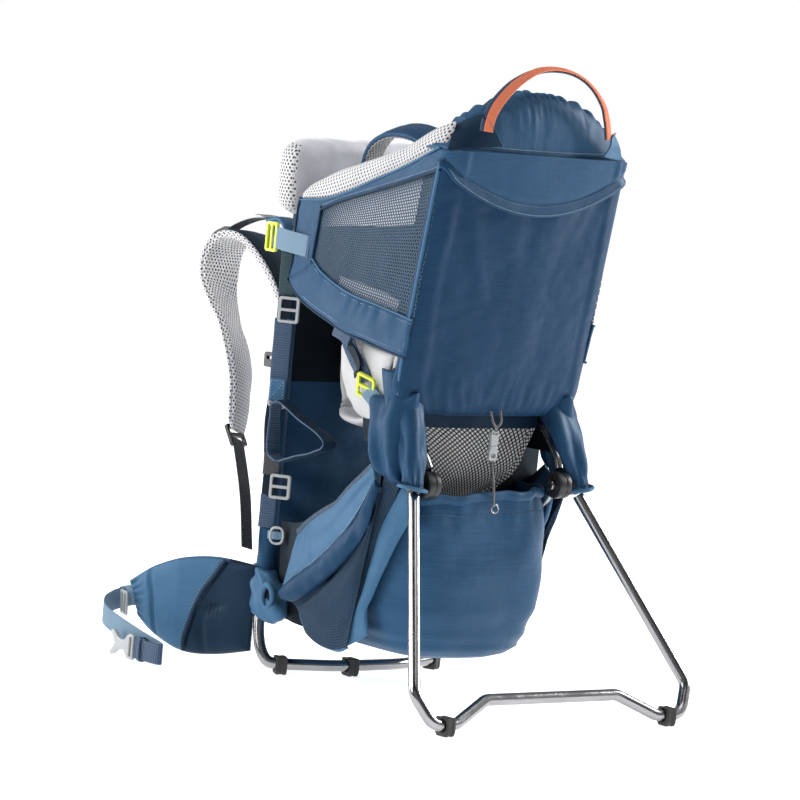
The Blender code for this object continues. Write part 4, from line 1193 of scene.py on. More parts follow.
def grab_handle():
    """Two layers of webbing sewn together, turned flat over the top of the arch."""
    path = through([Vector((x, -0.266, z)) for x, z in HANDLE_LINE], 6)

    def facing(t):
        rise = math.sin(math.pi * min(1.0, max(0.0, t))) ** 1.3
        turn = math.radians(94 - 76 * rise)
        tilt = -0.5 * (1 - rise) * (1 if t < 0.5 else -1)
        return Vector((tilt, -math.sin(turn), math.cos(turn)))

    def shifted(amount):
        return [point + out * amount for point, _, out in sides_along(path, facing)]

    inner = ribbon("handle_webbing", shifted(0.0011), 0.011, 0.0018, facing, "web_orange", "handle", dome=0.3)
    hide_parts("grab_handle")
    turns = sides_along(path, facing)
    behind = []
    for index, point in enumerate(shifted(-0.0014)):
        aside = stops(((0.0, 0.0042), (0.3, 0.004), (0.55, 0.0002), (1.0, 0.0002)), index / (len(path) - 1))
        behind.append(point - turns[index][1] * aside)
    outer = ribbon("handle_backing", behind, 0.0112, 0.0022, facing, "web_navy", "handle", dome=0.3)
    # The two patches are one cloth: the left one takes the darker copy of the shell fabric, painted shade,
    # and the right one the lighter copy, painted light.
    for side, sx, look in (("left", -1, "shell_dark"), ("right", 1, "shell_light")):
        low_out, low_in, high_out, high_in = (
            (
                (-0.1375, -0.248, 0.6555), (-0.0755, -0.2715, 0.6635), (-0.119, -0.228, 0.68),
                (-0.1, -0.262, 0.699)
            )
            if sx < 0
            else (
                (0.123, -0.252, 0.656), (0.083, -0.267, 0.66), (0.104, -0.26, 0.683), (0.0915, -0.268, 0.682)
            )
        )

        def patch_at(u, v):
            low = Vector(low_out).lerp(Vector(low_in), u)
            high = Vector(high_out).lerp(Vector(high_in), u)
            return low.lerp(high, v) + Vector(
                (0, -0.0035 * math.sin(math.pi * v), 0.002 * math.sin(math.pi * u) * v)
            )

        patch = sheet(f"handle_patch_{side}", patch_at, (24, 18), 0.0018, look, "carrier")
        rim_line = [patch_at(0.99, k / 20) + Vector((0, -0.0012, 0)) for k in range(21)]
        stitches(f"handle_patch_stitches_{side}", rim_line, (0, -1, 0), "thread_blue", "carrier")


outer_panel()
panel_details()
head_cap()
grab_handle()


# ---------------------------------------------------------------- Cockpit
RIM_TOP = ((0.018, 0.588), (-0.038, 0.613), (-0.09, 0.629), (-0.1575, 0.651), (-0.21, 0.677), (-0.24, 0.688))
RIM_LOW = (
    (0.024, 0.574), (-0.0295, 0.579), (-0.073, 0.591), (-0.113, 0.606), (-0.1815, 0.632), (-0.236, 0.657)
)
WINDOW_TOP = ((-0.022, 0.566), (-0.068, 0.581), (-0.119, 0.595), (-0.188, 0.615), (-0.24, 0.631))
WINDOW_LOW = ((-0.014, 0.5065), (-0.04, 0.491), (-0.094, 0.474), (-0.153, 0.465), (-0.214, 0.455))
FLANK_LOW = (
    (0.036, 0.476), (0.0095, 0.458), (-0.022, 0.446), (-0.057, 0.436), (-0.088, 0.427), (-0.118, 0.422),
    (-0.167, 0.415), (-0.205, 0.41)
)
SIDE_RIM = 0.133


def side_x(y, z):
    """How far the cockpit's flank stands out at (y, z)."""
    back = min(1.0, max(0.0, (0.03 - y) / 0.26))
    swell = math.sin(math.pi * back) * math.exp(-(((z - 0.515) / 0.1) ** 2))
    return 0.1335 + 0.0035 * back + 0.0065 * swell


def flank(sx, low, high, out=0.0):
    """A surface between two (y, z) lines on the flank."""
    low_at = line(low)
    high_at = line(high)

    def surface(u, v):
        y, z = low_at(u).lerp(high_at(u), v)
        return (sx * (side_x(y, z) + out), y, z)

    return surface


def flank_path(sx, points, out=0.0, count=60):
    at_t = line(points)
    spots = [at_t(k / count) for k in range(count + 1)]
    return [Vector((sx * (side_x(y, z) + out), y, z)) for y, z in spots]


def flanks():
    for side, sx in SIDES:
        out = Vector((sx, 0, 0))

        def gathers(u, v):
            fold = math.sin(u * 58 + 2.5 * math.sin(u * 11)) * bump_at(v, 1.0, 0.75)
            sag = rough(u * 5, v * 2.2, 3.0 + sx, 1.0)
            return sx * (0.0011 * fold + 0.0022 * sag)

        lower = sheet(
            f"flank_lower_{side}", flank(sx, FLANK_LOW, WINDOW_LOW), (90, 26), pillow(0.0075, 0.1, 0.3),
            "shell", "carrier", relief=gathers
        )
        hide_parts(f"side_panel_{side}")

        def slack(u, v):
            inside = math.sin(math.pi * u) * math.sin(math.pi * v)
            return sx * (0.002 * rough(u * 6, v * 3, 8.0, 1.0) - 0.0015 * inside)

        window = sheet(
            f"window_{side}", flank(sx, WINDOW_LOW, WINDOW_TOP, -0.0005), (60, 30), 0.0007, "window",
            "carrier", relief=slack
        )
        upper = sheet(
            f"flank_band_{side}", flank(sx, WINDOW_TOP, RIM_LOW), (80, 10), pillow(0.005, 0.2, 0.4), "shell",
            "carrier", relief=lambda u, v: sx * 0.0009 * rough(u * 14, v * 2, 1.0, 1.0)
        )
        front = ((0.036, 0.476), (0.03, 0.5), (0.029, 0.53), (0.0275, 0.56), (0.024, 0.577))
        inner = ((-0.012, 0.5), (-0.014, 0.5065), (-0.018, 0.53), (-0.021, 0.55), (-0.0225, 0.572))
        patch = sheet(
            f"flank_front_{side}", flank(sx, front[::-1], inner[::-1], 0.0002), (30, 20),
            pillow(0.0055, 0.2, 0.4), "shell", "carrier", relief=lambda u,
            v: sx * 0.001 * rough(u * 6, v * 3, 5.0, 1.0)
        )
        # The bindings are one tape: the runs in the lighter copy of the shell fabric are painted light, those
        # in the darker copy painted shade.
        for name, points, radius, look in (
            ("binding_top", WINDOW_TOP, 0.0017, "shell_dark"),
            ("binding_low", WINDOW_LOW, 0.0017, "shell_light"),
            ("binding_front", inner, 0.0015, "shell_dark"), ("binding_rim", RIM_LOW, 0.0016, "shell_light"),
            ("binding_foot", FLANK_LOW, 0.0019, "shell_dark"), ("binding_edge", front, 0.0017, "shell_dark")
        ):
            bound = pipe(
                f"{name}_{side}", flank_path(sx, points, 0.0022), radius, look, "carrier", 10, squeeze=0.8
            )
        for name, points, lift in (
            ("top", WINDOW_TOP, 0.0045), ("low", WINDOW_LOW, -0.005), ("foot", FLANK_LOW, 0.0065)
        ):
            moved = [(y, z + lift) for y, z in points]
            row = stitches(
                f"flank_stitches_{name}_{side}", flank_path(sx, moved, 0.003), out, "thread_pale", "carrier"
            )

        # The cockpit's pale lining, which the window lets through. Its pale strips are brightened to make up
        # for the dim light inside, which is partly painted light; its dark middle strip is painted shade.
        for name, low, high, look in (
            (
                "upper", ((0.03, 0.54), (-0.06, 0.551), (-0.125, 0.556), (-0.195, 0.566), (-0.226, 0.57)),
                ((0.01, 0.566), (-0.06, 0.586), (-0.125, 0.602), (-0.195, 0.62), (-0.228, 0.629)), "liner"
            ),
            (
                "middle", ((0.02, 0.492), (-0.06, 0.48), (-0.125, 0.474), (-0.185, 0.47), (-0.206, 0.469)),
                ((0.03, 0.541), (-0.06, 0.552), (-0.125, 0.557), (-0.2, 0.567), (-0.226, 0.571)), "shell_dark"
            ),
            (
                "lower", ((-0.05, 0.476), (-0.1, 0.464), (-0.14, 0.458), (-0.18, 0.452), (-0.203, 0.449)),
                ((-0.053, 0.49), (-0.1, 0.486), (-0.14, 0.48), (-0.18, 0.472), (-0.205, 0.466)), "liner"
            )
        ):
            lining = sheet(
                f"lining_{name}_{side}", flank(sx, low, high, -0.015 if name != "middle" else -0.02),
                (40, 12), pillow(0.006, 0.2, 0.4), look, "carrier", relief=lambda u,
                v: sx * 0.003 * rough(u * 5, v * 2, 2.0, 1.0)
            )

        # The cloth between the window and the panel, in the darker copy of the shell fabric: painted shade.
        def post(u, v):
            z = 0.428 + 0.22 * v
            return (sx * (0.1345 - 0.006 * u), panel_edge_y(z) + 0.036 - 0.034 * u, z)

        sheet(f"cockpit_post_{side}", post, (8, 40), 0.002, "shell_dark", "carrier")

        rim_low = line([(y, z + 0.001) for y, z in RIM_LOW])
        rim_high = line(RIM_TOP)

        def rim(u, v):
            y, z = rim_low(u).lerp(rim_high(u), v)
            return (sx * (SIDE_RIM - 0.007 * u * u - 0.004 * v), y, z)

        def rim_thick(u, v):
            near = math.sqrt(max(0.0, 1 - (2 * v - 1) ** 2))
            ends = math.sqrt(max(0.0, 1 - (1 - min(1.0, min(u, 1 - u) / 0.1)) ** 2))
            return 0.017 * (0.1 + 0.9 * near * ends)

        pad = sheet(
            f"rim_cushion_{side}", rim, (70, 22), rim_thick, "mesh", "carrier", relief=lambda u,
            v: sx * 0.0016 * rough(u * 9, v * 2, 2.0, 1.0), smooth=80.0
        )
        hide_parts(f"rim_pad_{side}")


def side_webbing():
    """The release strap at the front of each flank; its lime adjuster is made in adjusters()."""
    for side, sx in SIDES:
        path = through(
            [
                (sx * 0.1375, 0.09, 0.527), (sx * 0.1392, 0.0815, 0.5265), (sx * 0.1378, 0.07, 0.5255),
                (sx * 0.14, 0.056, 0.5245), (sx * 0.1412, 0.03, 0.5225), (sx * 0.1402, 0.002, 0.5205),
                (sx * 0.138, -0.004, 0.52)
            ],
            8
        )
        tape = ribbon(
            f"release_webbing_{side}", path[16:], 0.026, 0.0018, lambda t: (sx, 0, 0), "web_sky", "carrier",
            dome=0.2
        )
        under = ribbon(
            f"release_base_{side}",
            through(
                [(sx * 0.1396, 0.008, 0.5205), (sx * 0.1394, 0.001, 0.52), (sx * 0.139, -0.0065, 0.5195)], 8
            ),
            0.029, 0.0022, (sx, 0, 0), "web_navy", "carrier"
        )
        tail = through(
            [(sx * 0.1385, 0.065, 0.525), (sx * 0.1372, 0.074, 0.5245), (sx * 0.135, 0.086, 0.524)], 8
        )
        ribbon(f"release_tail_{side}", tail, 0.0255, 0.0016, (sx, 0, 0), "web_teal", "carrier")


def buckle_plate(name, centre, across, up, width, height, bar, thick, finish, node):
    """A two-slot webbing adjuster with rounded bars."""
    half_w = width / 2
    half_h = height / 2
    hole_h = (height - 3 * bar) / 4
    holes = [
        rounded(half_w - bar, hole_h, 0.0012, 4, (0, side * (bar / 2 + hole_h)))[::-1] for side in (-1, 1)
    ]
    outline = rounded(half_w, half_h, 0.0035, 6)
    piece = bar_frame(name, centre, across, up, outline, holes, thick, finish, "carrier")
    if node:
        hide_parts(node)
    return piece


def adjusters():
    for side, sx in SIDES:
        for name, finish, place, height, across, up in (
            ("front_adjuster", "lime", (0.139, 0.0705, 0.525), 0.022, (0, 0, 1), (0, 1, 0)),
            ("rail_adjuster_upper", "grey", (0.1323, 0.0329, 0.44), 0.032, (0.6, 0.8, 0), (0, 0, 1)),
            ("rail_adjuster_lower", "grey", (0.1274, 0.0263, 0.226), 0.03, (0.6, 0.8, 0), (0, 0, 1)),
            (
                "seat_adjuster", "lime", (0.13, -0.1273, 0.3666), 0.034, (-0.366, -0.88, -0.306),
                (0.349, -0.435, 0.832)
            )
        ):
            buckle_plate(
                f"{name}_plate_{side}", (sx * place[0], place[1], place[2]),
                (sx * across[0], across[1], across[2]), (sx * up[0], up[1], up[2]),
                0.036 if name == "front_adjuster" else 0.026, height, 0.0036, 0.0042, finish,
                f"{name}_{side}"
            )


def puffed(piece, voxel=0.005, pressure=4.0, cap=0.008, frames=20):
    """Swells a closed piece as stuffing does, by cloth simulation, then smooths and maps it."""
    bpy.context.view_layer.objects.active = piece
    remesh = piece.modifiers.new("cells", "REMESH")
    remesh.mode = "VOXEL"
    remesh.voxel_size = voxel
    apply_modifiers(piece)
    rest = [vertex.co.copy() for vertex in piece.data.vertices]
    cloth = piece.modifiers.new("stuffing", "CLOTH")
    cloth.settings.use_pressure = True
    cloth.settings.uniform_pressure_force = pressure
    cloth.settings.effector_weights.gravity = 0.0
    cloth.settings.quality = 4
    cloth.point_cache.frame_start = 1
    cloth.point_cache.frame_end = frames
    scene = bpy.context.scene
    for step in range(1, frames + 1):
        scene.frame_set(step)
    apply_modifiers(piece)
    scene.frame_set(1)
    for vertex, start in zip(piece.data.vertices, rest):
        gone = vertex.co - start
        if gone.length > cap:
            vertex.co = start + gone.normalized() * cap
    subdivide(piece, 1)
    apply_modifiers(piece)
    box_map(piece)
    piece.data.shade_smooth()
    return piece


def apply_modifiers(piece):
    """Replaces the piece's mesh with what its modifiers make of it."""
    graph = bpy.context.evaluated_depsgraph_get()
    made = bpy.data.meshes.new_from_object(piece.evaluated_get(graph))
    materials = list(piece.data.materials)
    piece.modifiers.clear()
    piece.data = made
    if not made.materials:
        for material in materials:
            made.materials.append(material)


def rounded_pad(name, y_rings, middle_z, power, finish, body, count=72):
    """A pad that stands in the x-z plane, from (y, half width, half height) rings."""
    rings = []
    for y, half_x, half_z in y_rings:
        rings.append([Vector((a, y, middle_z + b)) for a, b in superellipse(half_x, half_z, power, count)])
    return skin(name, rings, finish, body, smooth=80.0)


def wearer_pads():
    chin = rounded_pad(
        "chin_cushion",
        (
            (0.06, 0.114, 0.042), (0.063, 0.122, 0.05), (0.07, 0.125, 0.052), (0.078, 0.126, 0.053),
            (0.086, 0.125, 0.052), (0.093, 0.122, 0.049), (0.096, 0.114, 0.041)
        ),
        0.599, 4.5, "velour", "carrier"
    )
    puffed(chin, 0.005, 4.0, 0.005)
    chin.data.materials.append(LOOKS["mesh"])
    for polygon in chin.data.polygons:
        polygon.material_index = int(abs(polygon.normal.x) > 0.5)
    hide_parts("chin_pad")

    def collar(u, v):
        s = 2 * u - 1
        return ((0.108 - 0.006 * v) * s, 0.0745 + 0.002 * v, 0.508 + 0.058 * v)

    # The collar takes the darker copy of the shell fabric: painted shade.
    held = sheet(
        "chin_collar", collar, (40, 12), 0.006, "shell_dark", "carrier", relief=lambda u,
        v: 0.0012 * rough(u * 8, v * 2, 4.0, 1.0)
    )
    back = rounded_pad(
        "back_cushion",
        (
            (0.056, 0.1, 0.118), (0.059, 0.107, 0.125), (0.068, 0.109, 0.127), (0.077, 0.106, 0.124),
            (0.0815, 0.097, 0.115)
        ),
        0.2, 4.2, "mesh", "carrier", 96
    )
    puffed(back, 0.006, 3.0, 0.004)
    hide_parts("back_pad")


def seat():
    """The cloth seat, its side wings and the child's backrest and harness."""
    profile = (
        (-0.15, 0.43), (-0.141, 0.37), (-0.108, 0.328), (-0.05, 0.312), (-0.002, 0.324), (0.018, 0.368),
        (0.022, 0.43)
    )
    widths = ((0.0, 0.164), (0.2, 0.17), (0.34, 0.188), (0.55, 0.17), (0.75, 0.125), (1.0, 0.104))
    path = through([Vector((0, y, z)) for y, z in profile], 10)
    last = len(path) - 1

    def surface(u, v):
        place = min(v, 0.9999) * last
        index = int(place)
        spot = path[index].lerp(path[index + 1], place - index)
        half = stops(widths, v) / 2
        s = 2 * u - 1
        ahead = (path[index + 1] - path[index]).normalized()
        up = Vector((1, 0, 0)).cross(ahead)
        return spot + Vector((half * s, 0, 0)) + up * (
            0.006 * s * s if 0.2 < v < 0.8 else 0.006 * s * s * min(1.0, v / 0.2, (1 - v) / 0.2)
        )

    sling = sheet(
        "seat_cloth", surface, (40, 90), pillow(0.0105, 0.1, 0.25), "seat", "seat", relief=lambda u,
        v: 0.002 * rough(u * 4, v * 9, 1.0, 1.0)
    )
    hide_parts("seat_sling")
    for side, sx in SIDES:
        low = line(
            (
                (-0.072, 0.35), (-0.086, 0.342), (-0.1006, 0.3285), (-0.131, 0.3305), (-0.15, 0.345),
                (-0.158, 0.365)
            )
        )
        high = line(
            (
                (-0.0635, 0.409), (-0.082, 0.41), (-0.11, 0.415), (-0.135, 0.412), (-0.15, 0.411),
                (-0.165, 0.41)
            )
        )

        def wing(u, v):
            y, z = low(u).lerp(high(u), v)
            return (sx * (0.113 + 0.008 * v + 0.004 * math.sin(math.pi * v)), y, z)

        piece = sheet(
            f"seat_wing_{side}", wing, (36, 30), pillow(0.0075, 0.14, 0.3), "seat", "carrier",
            relief=lambda u, v: sx * 0.0024 * rough(u * 4, v * 3, 4.0, 1.0)
        )

    def rest(u, v):
        z = 0.455 + 0.17 * v
        s = 2 * u - 1
        return (0.095 * s, -0.148 - (z - LEAN_FROM_Z) * LEAN + 0.004 * s * s, z)

    backrest = sheet(
        "backrest_cushion", rest, (50, 50), pillow(0.016, 0.16, 0.2), "mesh", "carrier", relief=lambda u,
        v: 0.0012 * rough(u * 5, v * 5, 6.0, 1.0)
    )
    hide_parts("backrest_pad")
    profile = (
        (-0.168, 0.602), (-0.152, 0.64), (-0.105, 0.664), (-0.048, 0.666), (-0.006, 0.645), (0.012, 0.6),
        (0.01, 0.548), (0.002, 0.505)
    )
    for side, sx in SIDES:
        last_step = len(profile) - 1
        route = [
            Vector((sx * (0.054 - 0.012 * (k / last_step) ** 2), y, z)) for k, (y, z) in enumerate(profile)
        ]
        spots = through(route, 8)
        pad = ribbon(
            f"harness_cushion_{side}", spots, lambda t: 0.04 * (0.55 + 0.45 * min(1.0, min(t, 1 - t) / 0.08)),
            0.01, away(spots, (0, -0.06, 0.52)), ["shell", "mesh"], "carrier", dome=1.0, pick=lambda row,
            column: 1 if column < 7 else 0
        )
        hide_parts(f"harness_pad_{side}")
        web = through([(sx * 0.042, 0.0015, 0.506), (sx * 0.034, -0.0005, 0.49), (sx * 0.012, 0.0, 0.478)], 6)
        ribbon(f"harness_web_{side}", web, 0.014, 0.0016, (0, 1, 0.1), "web_dark", "carrier")
    outline = rounded(0.024, 0.019, 0.008, 8)
    holes = [rounded(0.0045, 0.0016, 0.001, 4, (side * 0.0145, 0.0095))[::-1] for side in (-1, 1)]
    buckle = bar_frame(
        "harness_clasp", (0, 0, 0.466), (1, 0, 0), (0, 0, 1), outline, holes, 0.014, "black", "carrier", 0.003
    )
    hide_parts("harness_buckle")


flanks()
side_webbing()
adjusters()
wearer_pads()
seat()


# ---------------------------------------------------------------- Bag, net, pockets and sleeves
BAG_MIDDLE = -0.0975
BAG_DEEP = 0.1275
BAG_HALF = 0.1165
BAG_WIDE = (
    (0.052, 0.6), (0.056, 0.72), (0.066, 0.84), (0.084, 0.93), (0.115, 0.985), (0.15, 1.0), (0.205, 0.99),
    (0.25, 0.955)
)
BAG_LONG = (
    (0.052, 0.72), (0.056, 0.82), (0.066, 0.9), (0.084, 0.95), (0.115, 0.985), (0.15, 1.0), (0.205, 0.98),
    (0.25, 0.935)
)


def bag_ring(z, inset=0.0, count=180):
    """The bag's outline at a height, with its folds."""
    half_x = BAG_HALF * stops(BAG_WIDE, z) - inset
    half_y = BAG_DEEP * stops(BAG_LONG, z) - inset
    ring = []
    for a, b in superellipse(half_x, half_y, 4.2, count):
        angle = math.atan2(b, a)
        front = max(0.0, -b / half_y) ** 2
        top = bump_at(z, 0.262, 0.08)
        fold = 0.0034 * top * (
            math.sin(23 * angle + 2 * math.sin(5 * angle)) * 0.5 + rough(a * 2.0, b * 2.0, z * 0.5, 0.035)
        )
        fold += 0.003 * rough(a * 1.2, b * 1.2, z * 1.6, 0.06) + 0.0022 * front * math.sin(a * 34 + z * 22)
        low = bump_at(z, 0.085, 0.03)
        fold -= 0.0022 * low * (1 + 0.6 * math.sin(a * 60))
        grow = 1 + fold / max(0.02, math.hypot(a, b))
        lift = 0.0075 * (a / BAG_HALF) * max(0.0, (z - 0.2) / 0.05) * (0.3 + 0.7 * front)
        lift += 0.0016 * top * math.sin(17 * angle)
        lift -= 0.075 * min(1.0, max(0.0, (b + 0.04) / 0.06)) ** 1.5 * max(0.0, (z - 0.15) / 0.1)
        ring.append(Vector((a * grow, BAG_MIDDLE + b * grow, z + lift)))
    return ring


def bag():
    heights = [0.052 + 0.198 * k / 44 for k in range(45)]
    outside = [bag_ring(z) for z in heights]
    inside = [bag_ring(max(z, 0.055), 0.003) for z in heights]
    flat = [Vector((p.x * 0.02, BAG_MIDDLE + (p.y - BAG_MIDDLE) * 0.02, 0.0522)) for p in outside[0]]
    flat_in = [Vector((p.x, p.y, 0.0552)) for p in flat]
    shell = skin(
        "bag_shell", [flat] + outside + inside[::-1] + [flat_in], "bag", "carrier", caps=False, smooth=80.0
    )
    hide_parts("lower_bag")
    top = bag_ring(0.2475)
    hem = pipe(
        "bag_hem", [p + Vector((0, 0, 0.0006)) for p in top], 0.0042, "bag", "carrier", 14, closed=True,
        squeeze=1.5
    )
    seam_at = bag_ring(0.229)
    out = lambda t: seam_at[round(t * (len(seam_at) - 1))] - Vector((0, BAG_MIDDLE, 0.23))
    raised = [p + (p - Vector((0, BAG_MIDDLE, p.z))).normalized() * 0.0007 for p in seam_at]
    stitches(
            "bag_hem_stitches", raised + raised[:1], lambda t: out(min(t, 1.0)), "thread_blue", "carrier"
        )
    eyelet = []
    for index in range(40):
        angle = 2 * math.pi * index / 40
        eyelet.append(Vector((0.0005 + 0.005 * math.cos(angle), -0.2262, 0.2362 + 0.005 * math.sin(angle))))
    pipe("bag_eyelet", eyelet, 0.0011, "steel", "carrier", 12, closed=True)


def underside():
    """The cloth that closes the bag's foot towards the wearer, over the frame, in the darker copy of the
    shell fabric: painted shade.
    """

    def hung(u, v):
        s = 2 * u - 1
        return ((0.119 - 0.022 * v) * s, 0.052 - 0.1 * v, 0.12 - 0.06 * v ** 0.6)

    piece = sheet(
        "bag_underside", hung, (40, 26), 0.002, "shell_dark", "carrier", relief=lambda u,
        v: 0.0025 * rough(u * 5, v * 3, 2.0, 1.0)
    )


def under_seat():
    """The checked net between the seat and the bag, the black sheet behind it and the band above; the sheet
    and the band are painted shade.
    """
    left = line(
        ((-0.086, -0.164, 0.333), (-0.062, -0.165, 0.305), (-0.05, -0.165, 0.272), (-0.046, -0.164, 0.238))
    )
    right = line(
        ((0.106, -0.164, 0.336), (0.086, -0.17, 0.306), (0.067, -0.172, 0.274), (0.021, -0.172, 0.244))
    )

    def net(u, v):
        spot = left(v).lerp(right(v), u)
        return spot + Vector((0, -0.006 * math.sin(math.pi * u), 0))

    piece = sheet(
        "seat_net", net, (60, 34), 0.0009, "net", "carrier", relief=lambda u,
        v: 0.0028 * math.sin(9 * u + 5 * v) * math.sin(math.pi * u) * v
    )
    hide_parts("net_panel")
    diagonal = [right(k / 40) + Vector((-0.001, -0.001, 0)) for k in range(41)]
    ribbon("net_binding", diagonal, 0.007, 0.0014, (0, -1, 0), "net", "carrier")

    # A black sheet behind the net: painted shade under the seat.
    def dark(u, v):
        s = 2 * u - 1
        return (0.02 + 0.12 * s, -0.138 + 0.006 * s * s, 0.218 + 0.108 * v)

    back = sheet(
        "seat_underside", dark, (30, 16), 0.002, "lining", "carrier", relief=lambda u,
        v: 0.003 * rough(u * 4, v * 2, 0.0, 1.0)
    )

    def band(u, v):
        s = 2 * u - 1
        return (0.103 * s, -0.1755 + 0.009 * s * s, 0.3255 + 0.02 * v)

    # The band takes the darker copy of the shell fabric: painted shade.
    strip = sheet(
        "seat_front_band", band, (50, 8), 0.003, "shell_dark", "carrier", relief=lambda u,
        v: 0.0016 * rough(u * 8, v, 3.0, 1.0)
    )


POCKET_TOP = (
    (-0.0251, 0.1758), (-0.045, 0.192), (-0.067, 0.206), (-0.095, 0.221), (-0.1182, 0.243), (-0.158, 0.2755)
)
ROLL_HIGH = (
    (-0.02, 0.113), (-0.0455, 0.13), (-0.076, 0.15), (-0.1178, 0.183), (-0.1565, 0.227), (-0.1779, 0.264)
)
ROLL_LOW = (
    (-0.02, 0.096), (-0.0489, 0.1), (-0.0943, 0.129), (-0.1345, 0.162), (-0.1674, 0.203), (-0.1843, 0.256)
)
MESH_LOW = (
    (-0.0325, 0.0975), (-0.0415, 0.0772), (-0.0558, 0.0615), (-0.0789, 0.0534), (-0.1031, 0.051),
    (-0.1207, 0.0518), (-0.134, 0.0577)
)
MESH_REAR = (
    (-0.128, 0.0573), (-0.1503, 0.1166), (-0.1605, 0.148), (-0.168, 0.1759), (-0.1813, 0.2157),
    (-0.2, 0.2461), (-0.208, 0.276)
)


def pocket_surface(sx, low, high, x_low, x_high, swell=0.0):
    low_at = line(low)
    high_at = line(high)

    def surface(u, v):
        y, z = low_at(u).lerp(high_at(u), v)
        x = x_low + (x_high - x_low) * v + swell * math.sin(
            math.pi * min(1, max(0, u))
        ) * math.sin(math.pi * v)
        return (sx * x, y, z)

    return surface


def side_pockets():
    for side, sx in SIDES:
        out = Vector((sx, 0, 0))
        # The flap, the fold and the piping take the lighter copy of the shell fabric, painted light; the roll
        # takes the darker panel copy, painted shade.
        flap = sheet(
            f"pocket_flap_{side}", pocket_surface(sx, ROLL_HIGH, POCKET_TOP, 0.144, 0.133, 0.0035), (70, 30),
            0.0024, "shell_light", "carrier", relief=lambda u,
            v: sx * (
                0.0026 * rough(u * 3.2, v * 2.2, 1.0, 1.0) - 0.0022 * bump_at(u, 0.17 + 0.1 * (1 - v), 0.035)
                * bump_at(v, 0.55, 0.5)
            )
        )
        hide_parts(f"side_pocket_{side}")
        top_at = line(POCKET_TOP)
        rim = [Vector((sx * 0.133, *top_at(k / 90))) for k in range(91)]
        ribs = ribbon(
            f"pocket_elastic_{side}", [p + Vector((0, 0, 0.0022)) for p in rim], 0.0085,
            lambda t: 0.0036 * (1 + 0.28 * math.sin(t * 380)), out, "elastic", "carrier", dome=0.8
        )

        def roll_thick(u, v):
            return 0.021 * math.sqrt(max(0.02, 1 - (2 * v - 1) ** 2)) * (
                0.35 + 0.65 * math.sin(math.pi * min(1.0, u * 1.25 + 0.12)) ** 0.6
            )

        roll = sheet(
            f"pocket_roll_{side}", pocket_surface(sx, ROLL_LOW, ROLL_HIGH, 0.1425, 0.1435, 0.002), (70, 16),
            roll_thick, "panel", "carrier", relief=lambda u,
            v: sx * (0.003 * rough(u * 5, v * 1.2, 9.0, 1.0) + 0.002 * rough(u * 14, v * 1.5, 5.0, 1.0)),
            smooth=85.0
        )
        roll_at = line(ROLL_HIGH)
        stitch_path = [
            Vector((sx * 0.1462, roll_at(k / 60)[0], roll_at(k / 60)[1] + 0.002)) for k in range(4, 58)
        ]
        stitches(f"pocket_stitches_{side}", stitch_path, out, "thread_pale", "carrier")
        mesh = sheet(
            f"pocket_mesh_{side}", pocket_surface(sx, MESH_LOW, ROLL_LOW, 0.13, 0.1395, 0.0085), (70, 50),
            0.0022, "pocket_mesh", "carrier", relief=lambda u, v: sx * 0.0026 * rough(u * 4, v * 3, 3.0, 1.0)
        )
        rear_at = line(MESH_REAR)
        front_at = line(
            (
                (-0.115, 0.064), (-0.133, 0.1166), (-0.143, 0.148), (-0.152, 0.1759), (-0.167, 0.2157),
                (-0.179, 0.2461), (-0.185, 0.276)
            )
        )

        def strip(u, v):
            y, z = front_at(v).lerp(rear_at(v), u)
            return (sx * (0.135 - 0.006 * u - 0.003 * (1 - v)), y, z)

        strip_piece = sheet(
            f"pocket_strip_{side}", strip, (20, 60), 0.0022, "pocket_mesh", "carrier", relief=lambda u,
            v: sx * 0.0012 * rough(u * 2, v * 6, 2.0, 1.0)
        )
        left = line(
            mirrored(
                [
                    (-0.131, -0.208, 0.26), (-0.132, -0.195, 0.24), (-0.133, -0.178, 0.206),
                    (-0.133, -0.167, 0.17), (-0.133, -0.157, 0.135), (-0.132, -0.144, 0.098),
                    (-0.131, -0.128, 0.057)
                ],
                -sx
            )
        )
        right = line(
            mirrored(
                [
                    (-0.118, -0.227, 0.248), (-0.12, -0.22, 0.228), (-0.123, -0.203, 0.2),
                    (-0.125, -0.188, 0.173), (-0.126, -0.174, 0.149), (-0.128, -0.16, 0.112),
                    (-0.128, -0.1652, 0.078)
                ],
                -sx
            )
        )

        tucked = Vector((-0.006, 0.03, 0)) if sx > 0 else Vector((0.006, 0.002, 0))

        def fold(u, v):
            bulge = 0.0075 * math.sin(math.pi * u) * (0.4 + 0.6 * math.sin(math.pi * min(1.0, 1.1 * v)))
            return left(v).lerp(right(v), u) + Vector((sx * 0.4, -0.6, 0)) * bulge + tucked

        folded = sheet(
            f"bag_fold_{side}", fold, (20, 60), pillow(0.008, 0.25, 0.25), "shell_light", "carrier",
            relief=lambda u, v: 0.0018 * rough(u * 1.5, v * 6, 5.0, 1.0), smooth=80.0
        )
        low_at = line(MESH_LOW)
        hem = [Vector((sx * 0.129, *low_at(k / 60))) for k in range(61)]
        pipe(f"pocket_piping_{side}", hem, 0.0019, "shell_light", "carrier", 10)

        # A black sheet at the bag's flank, which shows in front of the pocket: painted shade in the gap
        # behind the fold.
        low = ((0.022, 0.07), (-0.02, 0.066), (-0.05, 0.064), (-0.08, 0.064), (-0.105, 0.066))
        high = ((0.02, 0.185), (-0.02, 0.19), (-0.06, 0.214), (-0.09, 0.228), (-0.115, 0.238))
        wall = sheet(
            f"bag_flank_{side}", pocket_surface(sx, low, high, 0.118, 0.124, 0.004), (50, 30), 0.0022,
            "lining", "carrier", relief=lambda u, v: sx * 0.0018 * rough(u * 5, v * 3, 6.0, 1.0)
        )


